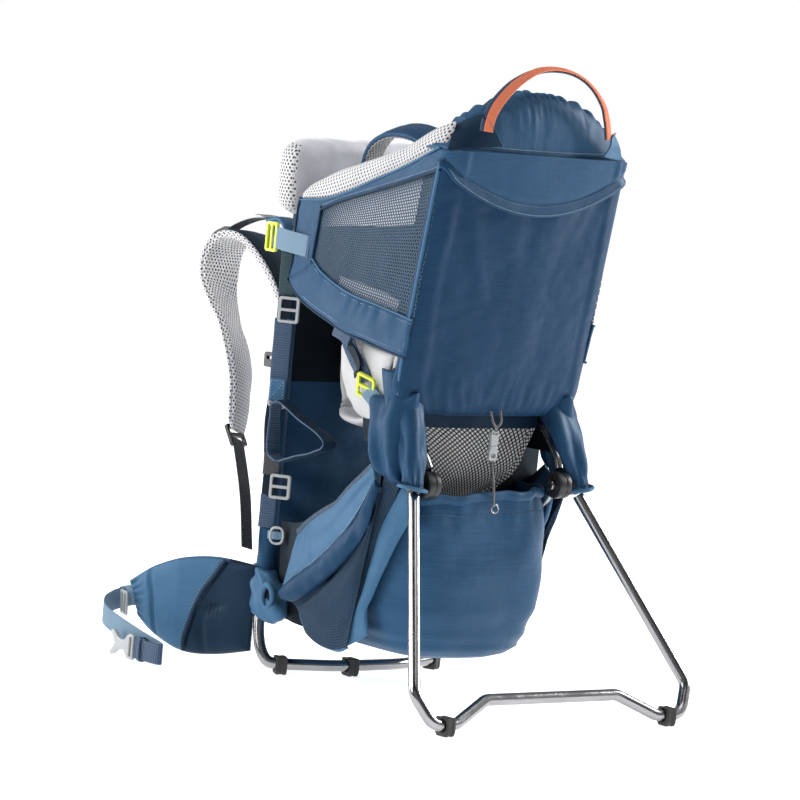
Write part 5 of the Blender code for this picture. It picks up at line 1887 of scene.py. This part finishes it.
def sleeves():
    """Fabric sleeves over the hinges, with a ribbed cuff."""
    for side, sx in SIDES:
        spine = through(
            mirrored(
                [
                    (0.11, -0.166, 0.392), (0.113, -0.18, 0.362), (0.117, -0.196, 0.332),
                    (0.12, -0.209, 0.308), (0.1235, -0.2195, 0.284), (0.1265, -0.226, 0.268),
                    (0.1275, -0.228, 0.261)
                ],
                sx
            ),
            8
        )
        last = len(spine) - 1
        rings = []
        for index, spot in enumerate(spine):
            t = index / last
            radius = stops(
                ((0.0, 0.025), (0.3, 0.024), (0.55, 0.0185), (0.8, 0.0135), (0.92, 0.013), (1.0, 0.0165)), t
            )
            ring = []
            for step in range(72):
                angle = 2 * math.pi * step / 72
                gather = 0.0009 * math.sin(24 * angle) * bump_at(t, 0.86, 0.16)
                fold = 0.004 * math.sin(3 * angle + 5 * t + sx) * bump_at(t, 0.45, 0.4) + 0.0022 * rough(
                    math.cos(angle) * 2, math.sin(angle) * 2, t * 4 + sx, 1.0
                )
                r = radius + gather + fold
                ring.append(spot + Vector((math.cos(angle) * r * 0.95, math.sin(angle) * r * 0.85, 0)))
            rings.append(ring)
        inner = []
        for ring, spot in zip(rings, spine):
            inner.append([spot + (p - spot) * 0.86 for p in ring])
        piece = skin(f"sleeve_{side}", rings + inner[::-1], "shell", "carrier", loop=True, smooth=85.0)
        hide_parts(f"hinge_sleeve_{side}")
        lip = []
        for step in range(72):
            angle = 2 * math.pi * step / 72
            lip.append(
                spine[-1]
                + Vector(
                    (
                        math.cos(angle) * 0.0168, math.sin(angle) * 0.015,
                        -0.0003 + 0.003 * math.cos(angle) * sx
                    )
                )
            )
        # The lip takes the lighter copy of the shell fabric: painted light.
        pipe(f"sleeve_lip_{side}", lip, 0.0024, "shell_light", "carrier", 12, closed=True)

        # The loose gusset between the panel's foot and the pocket.
        high = line(
            mirrored(
                [
                    (-0.125, -0.14, 0.36), (-0.124, -0.165, 0.362), (-0.12, -0.19, 0.366),
                    (-0.114, -0.208, 0.37)
                ],
                -sx
            )
        )
        low = line(
            mirrored(
                [
                    (-0.127, -0.162, 0.286), (-0.128, -0.176, 0.272), (-0.129, -0.192, 0.264),
                    (-0.129, -0.21, 0.264)
                ],
                -sx
            )
        )

        def gusset_at(u, v):
            spot = low(u).lerp(high(u), v)
            return spot + Vector((sx * 0.004 * math.sin(math.pi * u), 0, 0))

        gusset = sheet(
            f"sleeve_gusset_{side}", gusset_at, (44, 50), pillow(0.034, 0.45, 0.1), "shell", "carrier",
            relief=lambda u,
            v: sx * (
                0.0042 * math.sin(13 * u + 3 * v) * (1 - 0.5 * v) + 0.004 * rough(u * 3, v * 3, 3.0, 1.0)
            ),
            smooth=85.0
        )


def closure():
    """The two-part hook on its drawcord."""
    route = through(((0, -0.2135, 0.2905), (0, -0.219, 0.272), (0, -0.2226, 0.254), (0, -0.224, 0.238)), 8)
    cord = pipe("draw_cord", route, 0.0016, "cord", "closure", 14)
    outline = [
        (-0.0052, 0.0345), (0.0052, 0.0345), (0.0062, 0.03), (0.0052, 0.015), (0.0065, 0.012), (0.006, 0.001),
        (0.0035, 0.0), (-0.0035, 0.0), (-0.006, 0.001), (-0.0065, 0.012), (-0.0052, 0.015), (-0.0062, 0.03)
    ]
    holes = [
        rounded(0.003, 0.0024, 0.0018, 5, (0.0, 0.0058))[::-1],
        rounded(0.0034, 0.0011, 0.0008, 4, (0.0, 0.032))[::-1]
    ]
    hook = bar_frame(
        "closure_clip", (0, -0.2135, 0.292), (1, 0, 0), (0, 0, 1), outline, holes, 0.0042, "grey", "closure",
        0.001
    )
    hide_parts("closure_hook")
    collar_path = [Vector((a, -0.2135 + b, 0.308)) for a, b in superellipse(0.0056, 0.0032, 3.0, 32)]
    pipe("closure_collar", collar_path, 0.001, "grey", "closure", 8, closed=True)
    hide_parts("drawcord")


bag()
underside()
under_seat()
side_pockets()
sleeves()
closure()


# ---------------------------------------------------------------- The wearer's side
STRAP_ROUTE = (
    (0.056, 0.0745, 0.372), (0.06, 0.094, 0.404), (0.066, 0.124, 0.45), (0.073, 0.155, 0.49),
    (0.079, 0.187, 0.513), (0.084, 0.217, 0.513), (0.088, 0.237, 0.493), (0.091, 0.237, 0.455),
    (0.095, 0.214, 0.42), (0.1, 0.182, 0.388), (0.105, 0.158, 0.352), (0.111, 0.146, 0.315),
    (0.118, 0.136, 0.278)
)
WEBBING_ROUTE = ((0.1198, 0.131, 0.27), (0.128, 0.106, 0.238), (0.14, 0.077, 0.203), (0.1485, 0.054, 0.147))
BELT_ROUTE = (
    (0.2, 0.225, 0.06), (0.204, 0.23, 0.058), (0.214, 0.233, 0.054), (0.23, 0.227, 0.048),
    (0.244, 0.204, 0.0415), (0.25, 0.162, 0.034), (0.252, 0.11, 0.025), (0.252, 0.072, 0.019),
    (0.2565, 0.0625, 0.0175), (0.261, 0.072, 0.0175), (0.262, 0.11, 0.0175)
)


def back_cloth():
    def surface(u, v):
        s = 2 * u - 1
        return (0.115 * s, RAIL_Y - 0.006 * (1 - s * s) * math.sin(math.pi * v), 0.068 + 0.45 * v)

    piece = sheet(
        "back_cloth", surface, (40, 90), 0.006, "shell", "carrier", relief=lambda u,
        v: 0.0016 * rough(u * 3, v * 8, 1.0, 1.0) + 0.0008 * math.sin(60 * v + 4 * math.sin(6 * u))
    )
    # The back above the seam takes the near-black cloth: painted shade over the upper back.
    piece.data.materials.append(LOOKS["lining"])
    for polygon in piece.data.polygons:
        polygon.material_index = int(polygon.center.z > 0.352)
    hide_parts("back_panel")
    for side, sx in SIDES:
        rail = [Vector((sx * RAIL_X, RAIL_Y, 0.118 + 0.404 * k / 60)) for k in range(61)]
        cover = pipe(
            f"rail_cover_{side}", rail,
            lambda t: 0.0112 + 0.0007 * math.sin(t * 70) * bump_at(t, 0.0, 0.3) + 0.0004 * rough(
                t * 40, sx, 0.0, 1.0
            ),
            "shell", "carrier", 28
        )
        seam = [p + Vector((sx * 0.0066, 0.0096, 0)) for p in rail]
        stitches(f"rail_stitches_{side}", seam, (sx * 0.57, 0.82, 0), "thread_pale", "carrier")

        # The boot over the frame's lower corner, with its curled mouth, in the lighter copy of the shell
        # fabric: painted light.
        spine = through(
            mirrored(
                [
                    (0.1265, 0.04, 0.124), (0.1285, 0.033, 0.112), (0.1305, 0.026, 0.099),
                    (0.1325, 0.023, 0.086), (0.1335, 0.024, 0.074), (0.134, 0.027, 0.067)
                ],
                sx
            ),
            6
        )
        rings = []
        last = len(spine) - 1
        for index, spot in enumerate(spine):
            t = index / last
            long = stops(((0.0, 0.017), (0.3, 0.028), (0.7, 0.031), (1.0, 0.02)), t)
            wide = stops(((0.0, 0.0115), (0.4, 0.0145), (0.8, 0.014), (1.0, 0.01)), t)
            ring = []
            for a, b in superellipse(wide, long, 2.4, 60):
                fold = 1 + 0.17 * rough(a * 70, b * 60, t * 4.0 + sx, 1.0) + 0.08 * math.sin(11 * t + b * 190)
                ring.append(spot + Vector((sx * a * fold, b * fold, b * 0.25)))
            rings.append(ring)
        boot = skin(f"corner_boot_{side}", rings, "shell_light", "carrier", smooth=85.0)
        mouth = []
        for index in range(36):
            angle = 2 * math.pi * index / 36
            mouth.append(
                Vector(
                    (
                        sx * (0.1462 + 0.001 * math.cos(angle)), 0.008 + 0.0085 * math.cos(angle),
                        0.096 + 0.0135 * math.sin(angle)
                    )
                )
            )
        pipe(
                f"boot_mouth_{side}", mouth, lambda t: 0.003 + 0.0012 * math.sin(6.28 * t), "shell_light",
                "carrier", 12, closed=True
            )

        # A black disc inside the boot's mouth: painted shade.
        def inside(u, v):
            angle = 2 * math.pi * u
            return (sx * 0.144, 0.008 + 0.008 * v * math.cos(angle), 0.096 + 0.013 * v * math.sin(angle))

        sheet(
                f"boot_inside_{side}", lambda u, v: inside(u, 0.08 + 0.92 * v), (30, 4), 0.001, "lining",
                "carrier"
            )


def rail_webbing():
    """The webbing down the outside of each rail, with its patch, clips and rings."""
    for side, sx in SIDES:
        out = Vector((sx * 0.8, -0.6, 0))
        side_way = Vector((sx * 0.6, 0.8, 0))
        base = Vector((sx * 0.1342, 0.0384, 0))

        def run(name, z_high, z_low, width, look, lift=0.0, thick=0.0018):
            spots = []
            for k in range(25):
                z = z_high + (z_low - z_high) * k / 24
                wave = 0.0006 * math.sin(z * 120)
                spots.append(base + out * (lift + wave) + Vector((0, 0, z)))
            tape = ribbon(f"{name}_{side}", spots, width, thick, out, look, "carrier", dome=0.2)

        run("rail_web_top", 0.52, 0.4545, 0.02, "web_teal")
        # The black strips behind the grey adjusters, seen through their slots, are painted shade; the sewn
        # patch takes the lighter copy of the shell fabric, painted light.
        run("rail_web_slot", 0.457, 0.423, 0.018, "lining", 0.0006)
        run("rail_web_mid", 0.429, 0.352, 0.0225, "web_navy", 0.0006)
        run("rail_web_patch", 0.356, 0.329, 0.0205, "shell_light", 0.0022, 0.0036)
        run("rail_web_low", 0.266, 0.239, 0.0205, "web_dark", 0.0004)
        run("rail_web_slot_low", 0.24, 0.213, 0.018, "lining", 0.0002)
        run("rail_web_foot", 0.215, 0.175, 0.02, "web_navy", 0.0002)
        box = []
        for a, b in (
            (-0.008, 0.3535), (0.008, 0.3535), (0.008, 0.3315), (-0.008, 0.3315), (-0.008, 0.3535),
            (0.008, 0.3315)
        ):
            box.append(base + side_way * a + out * 0.0043 + Vector((0, 0, b)))
        stitches(f"patch_stitches_{side}", sampled(box, 60), out, "thread_pale", "carrier")
        clip = bar_frame(
            f"rail_clip_{side}", base + out * 0.0068 + Vector((0, 0, 0.3245)) - side_way * 0.002,
            side_way + Vector((0, 0, 0.22)), out + Vector((0, 0, 1.6)), rounded(0.0125, 0.0048, 0.0036, 6),
            [rounded(0.0085, 0.0014, 0.0012, 4)[::-1]], 0.0024, "steel", "carrier", 0.0008
        )
        tongue = through(
            [
                base + out * 0.008 + Vector((0, 0, 0.324)),
                base + out * 0.0105 - side_way * 0.002 + Vector((0, 0, 0.31)),
                base + out * 0.01 - side_way * 0.003 + Vector((0, 0, 0.295)),
                base + out * 0.005 + Vector((0, 0, 0.282))
            ],
            8
        )
        ribbon(f"clip_tongue_{side}", tongue, 0.012, 0.0018, out, "web_sky", "carrier")
        back_strap = through(
            [
                base + out * 0.003 + side_way * 0.006 + Vector((0, 0, 0.329)),
                base + out * 0.004 + side_way * 0.007 + Vector((0, 0, 0.3)),
                base + out * 0.0025 + side_way * 0.005 + Vector((0, 0, 0.266))
            ],
            8
        )
        ribbon(f"clip_strap_{side}", back_strap, 0.01, 0.002, out, "lining", "carrier")
        centre = Vector((sx * 0.133, 0.017, 0.168))
        ring = [centre + side_way * a + Vector((0, 0, b)) for a, b in superellipse(0.0082, 0.0098, 2.6, 40)]
        pipe(f"key_ring_{side}", ring, 0.0016, "grey", "carrier", 12, closed=True)
        tab = through(
            [
                centre + side_way * 0.012 - out * 0.003, centre + side_way * 0.004 + out * 0.0006,
                centre - side_way * 0.006 - out * 0.002
            ],
            8
        )
        ribbon(f"key_tab_{side}", tab, 0.0095, 0.0018, out, "web_sky", "carrier")
        plug = bar_frame(
            f"chest_clip_{side}", (sx * 0.129, 0.065, 0.376), (0, 1, 0), (0, 0, 1),
            rounded(0.0105, 0.009, 0.0028, 5), [rounded(0.0055, 0.0022, 0.0012, 4, (0, 0.0025))[::-1]], 0.005,
            "black", "carrier", 0.001
        )


def seat_straps():
    """Straps that hang the seat's side wing; the lime adjuster on them is made in adjusters()."""
    for side, sx in SIDES:
        upper = through(
            mirrored(
                [
                    (0.1385, -0.088, 0.433), (0.137, -0.096, 0.415), (0.1335, -0.106, 0.398),
                    (0.131, -0.119, 0.383), (0.13, -0.126, 0.372)
                ],
                sx
            ),
            8
        )
        ribbon(f"seat_strap_{side}", upper, 0.019, 0.002, (sx, -0.15, 0.2), "web_navy", "carrier")
        lower = through(
            mirrored(
                [
                    (0.13, -0.13, 0.364), (0.1285, -0.144, 0.354), (0.127, -0.164, 0.343),
                    (0.125, -0.185, 0.333)
                ],
                sx
            ),
            8
        )
        ribbon(f"seat_tail_{side}", lower, 0.02, 0.0018, (sx, -0.15, 0.3), "web_sky", "carrier")
        loop = through(
            mirrored(
                [
                    (0.1375, -0.09, 0.418), (0.1365, -0.106, 0.405), (0.135, -0.116, 0.39),
                    (0.1335, -0.108, 0.378)
                ],
                sx
            ),
            8
        )
        ribbon(f"seat_loop_{side}", loop, 0.011, 0.0018, (sx, 0.3, 0.3), "lining", "carrier")
        keeper = ribbon(
            f"seat_keeper_{side}",
            through(
                mirrored([(0.1402, -0.07, 0.427), (0.1405, -0.086, 0.423), (0.1398, -0.101, 0.418)], sx), 6
            ),
            0.013, 0.0026, (sx, 0, 0.1), "web_navy", "carrier"
        )

        # A black sheet inside each seat wing: painted shade.
        def shade(u, v):
            low = Vector((-0.102, 0.3)).lerp(Vector((-0.196, 0.3)), u)
            high = Vector((-0.096, 0.332)).lerp(Vector((-0.196, 0.352)), u)
            y, z = low.lerp(high, v)
            return (sx * 0.106, y, z)

        sheet(
                f"seat_shade_{side}", shade, (16, 10), 0.002, "lining", "carrier", relief=lambda u,
                v: 0.001 * rough(u * 3, v * 2, 1.0, 1.0)
            )


def shoulder_pieces():
    # The yoke takes the darker copy of the shell fabric: painted shade.
    yoke = rounded_pad(
        "yoke_pad",
        ((0.0545, 0.084, 0.034), (0.056, 0.088, 0.038), (0.0625, 0.088, 0.038), (0.064, 0.084, 0.034)), 0.392,
        5.0, "shell_dark", "yoke", 96
    )
    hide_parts("shoulder_yoke")
    for k in range(3):
        row = [Vector((-0.074 + 0.148 * i / 40, 0.0646, 0.372 + 0.02 * k)) for i in range(41)]
        stitches(f"yoke_stitches_{k}", row, (0, 1, 0), "thread_pale", "yoke")
    widths = ((0.0, 0.05), (0.15, 0.062), (0.6, 0.062), (0.85, 0.052), (1.0, 0.04))
    for side, sx in SIDES:
        body = f"strap_{side}"
        path = through(mirrored(STRAP_ROUTE, sx), 8)
        rings_count = len(path) - 1

        def thick(t):
            return 0.0135 * (0.45 + 0.55 * min(1.0, min(t, 1 - t) / 0.05))

        # The strap's blue face takes the darker copy of the shell fabric: painted shade; the rest is mesh.
        pad = ribbon(
            f"strap_pad_{side}", path,
            lambda t: stops(widths, t) * (0.9 + 0.1 * min(1.0, min(t, 1 - t) / 0.03)), thick,
            away(path, (sx * 0.08, 0.14, 0.4)), ["shell_dark", "mesh"], body, edge=0.45, dome=0.9, level=1,
            pick=lambda row, column: 0 if 8 <= column < 15 else 1
        )
        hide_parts(f"shoulder_strap_{side}")
        turns = sides_along(path, away(path, (sx * 0.08, 0.14, 0.4)))
        for edge_side in (-1, 1):
            rim = []
            for index, (point, across, out) in enumerate(turns):
                t = index / rings_count
                rim.append(point + across * edge_side * (stops(widths, t) / 2 - 0.0005) + out * 0.002)
            name = "in" if edge_side < 0 else "out"
            pipe(f"strap_rim_{name}_{side}", rim[2:-2], 0.0022, "mesh", body, 10)
        ladder_at = Vector((sx * 0.1185, 0.137, 0.274))
        web = through(mirrored(WEBBING_ROUTE, sx), 12)
        tape = ribbon(
            f"strap_tape_{side}", web, 0.022, 0.0018, lambda t: (sx * 0.35, 0.75, -0.55), "web_dark", body,
            dome=0.2
        )
        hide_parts(f"strap_webbing_{side}")
        lock = bar_frame(
            f"strap_lock_{side}", ladder_at, (sx, -0.35, 0.1), (-0.03 * sx, 0.62, 0.78),
            rounded(0.0165, 0.015, 0.003, 6),
            [rounded(0.0125, 0.0036, 0.0012, 4, (0, s * 0.0062))[::-1] for s in (-1, 1)], 0.004, "black",
            body, 0.0009
        )
        lifter = through(
            mirrored(
                [
                    (0.102, 0.062, 0.53), (0.096, 0.09, 0.537), (0.09, 0.125, 0.542), (0.087, 0.17, 0.5395),
                    (0.086, 0.205, 0.53), (0.087, 0.23, 0.518)
                ],
                sx
            ),
            10
        )
        # The first stretch lies under the flap, so the webbing starts beyond it.
        ribbon(f"load_lifter_{side}", lifter[18:], 0.019, 0.0018, (0, -0.1, 1), "web_teal", body)
        flap = through(
            mirrored(
                [(0.108, 0.064, 0.516), (0.101, 0.08, 0.535), (0.095, 0.104, 0.544), (0.0915, 0.13, 0.54)], sx
            ),
            10
        )
        # The flap takes the lighter copy of the shell fabric: painted light.
        piece = ribbon(
            f"lifter_flap_{side}", flap, 0.027, 0.006, (0, -0.2, 1), "shell_light", "carrier", dome=0.9
        )
        tri = bar_frame(
            f"lifter_ring_{side}", (sx * 0.0895, 0.15, 0.544), (1, 0, 0), (0, 1, 0.05),
            rounded(0.014, 0.0095, 0.004, 6), [rounded(0.0098, 0.005, 0.0016, 5)[::-1]], 0.0028, "grey", body,
            0.0009
        )
        tail = through(mirrored([(0.087, 0.23, 0.523), (0.088, 0.248, 0.515), (0.089, 0.256, 0.506)], sx), 8)
        ribbon(f"lifter_tail_{side}", tail, 0.018, 0.003, (0, 0.5, 1), "black", body, dome=0.5)


FIN_PLAN = ((0.137, 0.045), (0.16, 0.094), (0.18, 0.138), (0.193, 0.18), (0.199, 0.222))
FIN_TOPS = ((0.0, 0.127), (0.25, 0.13), (0.5, 0.123), (0.75, 0.106), (1.0, 0.081))
FIN_LOWS = ((0.0, 0.022), (0.25, 0.011), (0.5, 0.008), (0.75, 0.019), (1.0, 0.04))
FIN_SEAM = (
    (0.0, 0.5), (0.13, 0.48), (0.33, 0.43), (0.5, 0.385), (0.65, 0.33), (0.81, 0.25), (0.95, 0.2), (1.0, 0.18)
)


def smooth_line(pairs):
    """A function of t that runs smoothly through (t, value) pairs."""
    spots = through([Vector((t, value, 0)) for t, value in pairs], 12)

    def value_at(t):
        for before, after in zip(spots, spots[1:]):
            if t <= after.x:
                share = max(0.0, t - before.x) / (after.x - before.x)
                return before.y + (after.y - before.y) * share
        return spots[-1].y

    return value_at


fin_top = smooth_line(FIN_TOPS)
fin_low = smooth_line(FIN_LOWS)
fin_seam = smooth_line(FIN_SEAM)


def fin_spot(u, v, sx, out=0.0):
    """A point of the hip fin's middle surface, moved out towards the outside."""
    u_here = max(0.0, u * (1 - 0.12 * (1 - v)))
    count = len(FIN_PLAN) - 1
    index = min(count - 1, int(u_here * count))
    share = u_here * count - index
    a = Vector(FIN_PLAN[index])
    b = Vector(FIN_PLAN[index + 1])
    spot = a.lerp(b, share)
    low = fin_low(u)
    high = fin_top(u)
    normal = Vector((b.y - a.y, -(b.x - a.x))).normalized()
    spot += normal * out
    return Vector((sx * spot.x, spot.y, low + (high - low) * v))


FIN_CELLS = (110, 60)


def fin_relief(u, v, sx):
    """How far the fin's outer face is pressed in: at the seam, at the dart and in the gathers."""
    seam = fin_seam(v)
    deep = 0.0034 * bump_at(u, seam, 0.03)
    dart = max(0.0, 1 - abs(u - 0.27) / 0.12)
    deep += 0.004 * dart * bump_at(v, 0.47 + 0.04 * math.sin(9 * u), 0.06)
    if u < seam:
        deep += 0.0012 * dart * (1 + math.sin(u * 210)) * bump_at(v, 0.47, 0.12)
        deep += 0.003 * bump_at(u, 0.33 + 0.05 * v, 0.05) * bump_at(v, 0.2, 0.28)
    else:
        deep += 0.0016 * (1 + math.sin(v * 46 + 6 * u)) * bump_at(u, 1.0, 0.22)
        deep += 0.0036 * bump_at(u, 0.76, 0.035)
    return deep + 0.0022 * (1 + rough(u * 4.0, v * 2.4, 2.0 + sx, 1.0))


def hip_fins():
    across, up = FIN_CELLS
    count = (across + 1) * (up + 1)
    for side, sx in SIDES:
        body = f"fin_{side}"
        # The fin is one cloth outside: its back part takes the darker copy of the shell fabric, painted
        # shade, its front part the lighter copy, painted light, and the piping the darker copy; the inside is
        # mesh.
        looks = ["shell_dark", "shell_light", "mesh"]
        fin = sheet(
            f"fin_pad_{side}", lambda u, v: fin_spot(u, v, sx), FIN_CELLS, pillow(0.0215, 0.22, 0.18), looks,
            body, smooth=85.0
        )
        outside = Vector((sx, -0.35, 0))
        for index, vertex in enumerate(fin.data.vertices):
            row, column = divmod(index % count, across + 1)
            u, v = column / across, row / up
            away_from = vertex.co - at(*fin_spot(u, v, sx))
            if away_from.dot(outside) > 0:
                vertex.co -= away_from.normalized() * min(fin_relief(u, v, sx), 0.8 * away_from.length)
        for polygon in fin.data.polygons:
            cells = [divmod(index % count, across + 1) for index in polygon.vertices]
            u = sum(column for _, column in cells) / len(cells) / across
            v = sum(row for row, _ in cells) / len(cells) / up
            face = 2 if polygon.normal.dot(outside) < 0 else int(u > fin_seam(v))
            polygon.material_index = face
        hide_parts(f"hip_fin_{side}")
        seam_path = []
        for k in range(81):
            v = 0.02 + 0.96 * k / 80
            near = min(1.0, min(v, 1 - v) / 0.22)
            out = 0.0108 * (0.18 + 0.82 * math.sqrt(max(0.0, 1 - (1 - near) ** 2))) - 0.0012
            seam_path.append(fin_spot(fin_seam(v), v, sx, out))
        pipe(f"fin_piping_{side}", seam_path, 0.0022, "shell_dark", body, 10)
        row = [point + Vector((sx * 0.0012, 0.0042, 0.0012)) for point in seam_path]
        stitches(f"fin_stitches_{side}", row, (sx, 0, 0), "thread_pale", body)


def belt():
    for side, sx in SIDES:
        body = f"belt_end_{side}"
        path = through(mirrored(BELT_ROUTE, sx), 10)
        rows = len(path)
        facing = on_edge(path, (0, 0, 1))
        tape = ribbon(
            f"belt_tape_{side}", path, 0.025, 0.0019, facing, ["web_sky", "web_navy"], body, dome=0.2,
            pick=lambda row, column: 1 if row > rows * 0.745 else 0
        )
        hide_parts(f"belt_webbing_{side}")
        root = through(
            mirrored(
                [(0.193, 0.2, 0.066), (0.1985, 0.216, 0.0635), (0.2005, 0.226, 0.0605), (0.203, 0.23, 0.059)],
                sx
            ),
            8
        )
        ribbon(f"belt_root_{side}", root, 0.026, 0.0022, on_edge(root, (0, 0, 1)), "web_sky", body)
        glide = bar_frame(
            f"belt_glide_{side}", (sx * 0.2085, 0.217, 0.0545), (0.25 * sx, -0.95, 0.0), (0, 0.1, 1),
            rounded(0.0115, 0.015, 0.0026, 5),
            [rounded(0.003, 0.0115, 0.0012, 4, (s * 0.0052, 0))[::-1] for s in (-1, 1)], 0.0026, "grey", body,
            0.0008
        )
        keeper = [
            Vector((sx * (0.2592 + a), 0.0985, 0.0175 + b)) for a, b in superellipse(0.0062, 0.0142, 3.5, 40)
        ]
        loop = ribbon(
            f"belt_keeper_{side}", keeper, 0.006, 0.0014, away(keeper, (sx * 0.2592, 0.0985, 0.0175)),
            "web_navy", body, closed=True
        )
    male = [
        (0.0, 0.014), (0.002, 0.0155), (0.01, 0.0155), (0.013, 0.0135), (0.019, 0.007), (0.026, 0.006),
        (0.033, 0.0085), (0.04, 0.014), (0.044, 0.0155), (0.048, 0.015), (0.0485, 0.0105), (0.045, 0.0085),
        (0.041, 0.003), (0.0395, 0.0)
    ]
    outline = male + [(a, -b) for a, b in male[::-1][1:]]
    slot_hole = rounded(0.0022, 0.012, 0.0016, 5, (0.0056, 0))[::-1]
    plug = bar_frame(
        "hip_plug", (-0.262, 0.1112, 0.0175), (0, 1, 0), (0, 0, 1), outline, [slot_hole], 0.0056, "grey",
        "belt_end_left", 0.0014
    )
    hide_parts("buckle_male")
    rings = []
    for along, half_x, half_z in (
        (0.0, 0.0034, 0.0132), (0.0008, 0.0042, 0.0142), (0.004, 0.0058, 0.016), (0.008, 0.0062, 0.0163),
        (0.02, 0.0058, 0.0152), (0.033, 0.0062, 0.0163), (0.039, 0.0056, 0.0135), (0.041, 0.0046, 0.0116)
    ):
        rings.append(
            [
                Vector((0.259 + a, 0.1112 + along, 0.0175 + b)) for a,
                b in superellipse(half_x, half_z, 4.0, 60)
            ]
        )
    socket = skin("hip_socket", rings, "grey", "belt_end_right", smooth=60.0)
    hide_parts("buckle_female")


def stirrups():
    corners = ((0.01, 0.332), (-0.104, 0.292), (0.004, 0.26), (0.024, 0.266), (0.024, 0.328))
    for side, sx in SIDES:
        path = filleted([Vector((sx * 0.1465, y, z)) for y, z in corners], 0.01, 8, closed=True)
        spots = []
        for start, end in zip(path, path[1:] + path[:1]):
            steps = max(1, int((end - start).length / 0.004))
            spots += [start.lerp(end, k / steps) for k in range(steps)]
        crushed = []
        for index, spot in enumerate(spots):
            wave = 0.0016 * rough(spot.y * 60, spot.z * 60, sx, 1.0)
            crushed.append(spot + Vector((0, wave, wave)))
        last = len(crushed)

        def facing(t):
            index = round(t * (last - 1))
            ahead = crushed[(index + 1) % last] - crushed[index - 1]
            return Vector((1, 0, 0)).cross(ahead)

        # One face of the band takes the darker copy of the shell fabric: painted shade.
        loop = ribbon(
            f"foot_loop_band_{side}", crushed, lambda t: 0.0175 + 0.0022 * math.sin(t * 40), 0.0034, facing,
            ["web_navy", "shell_dark"], f"foot_loop_{side}", closed=True, dome=0.6, pick=lambda row,
            column: 1 if column < 7 else 0
        )
        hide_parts(f"stirrup_{side}")


back_cloth()
rail_webbing()
seat_straps()
shoulder_pieces()
hip_fins()
belt()
stirrups()
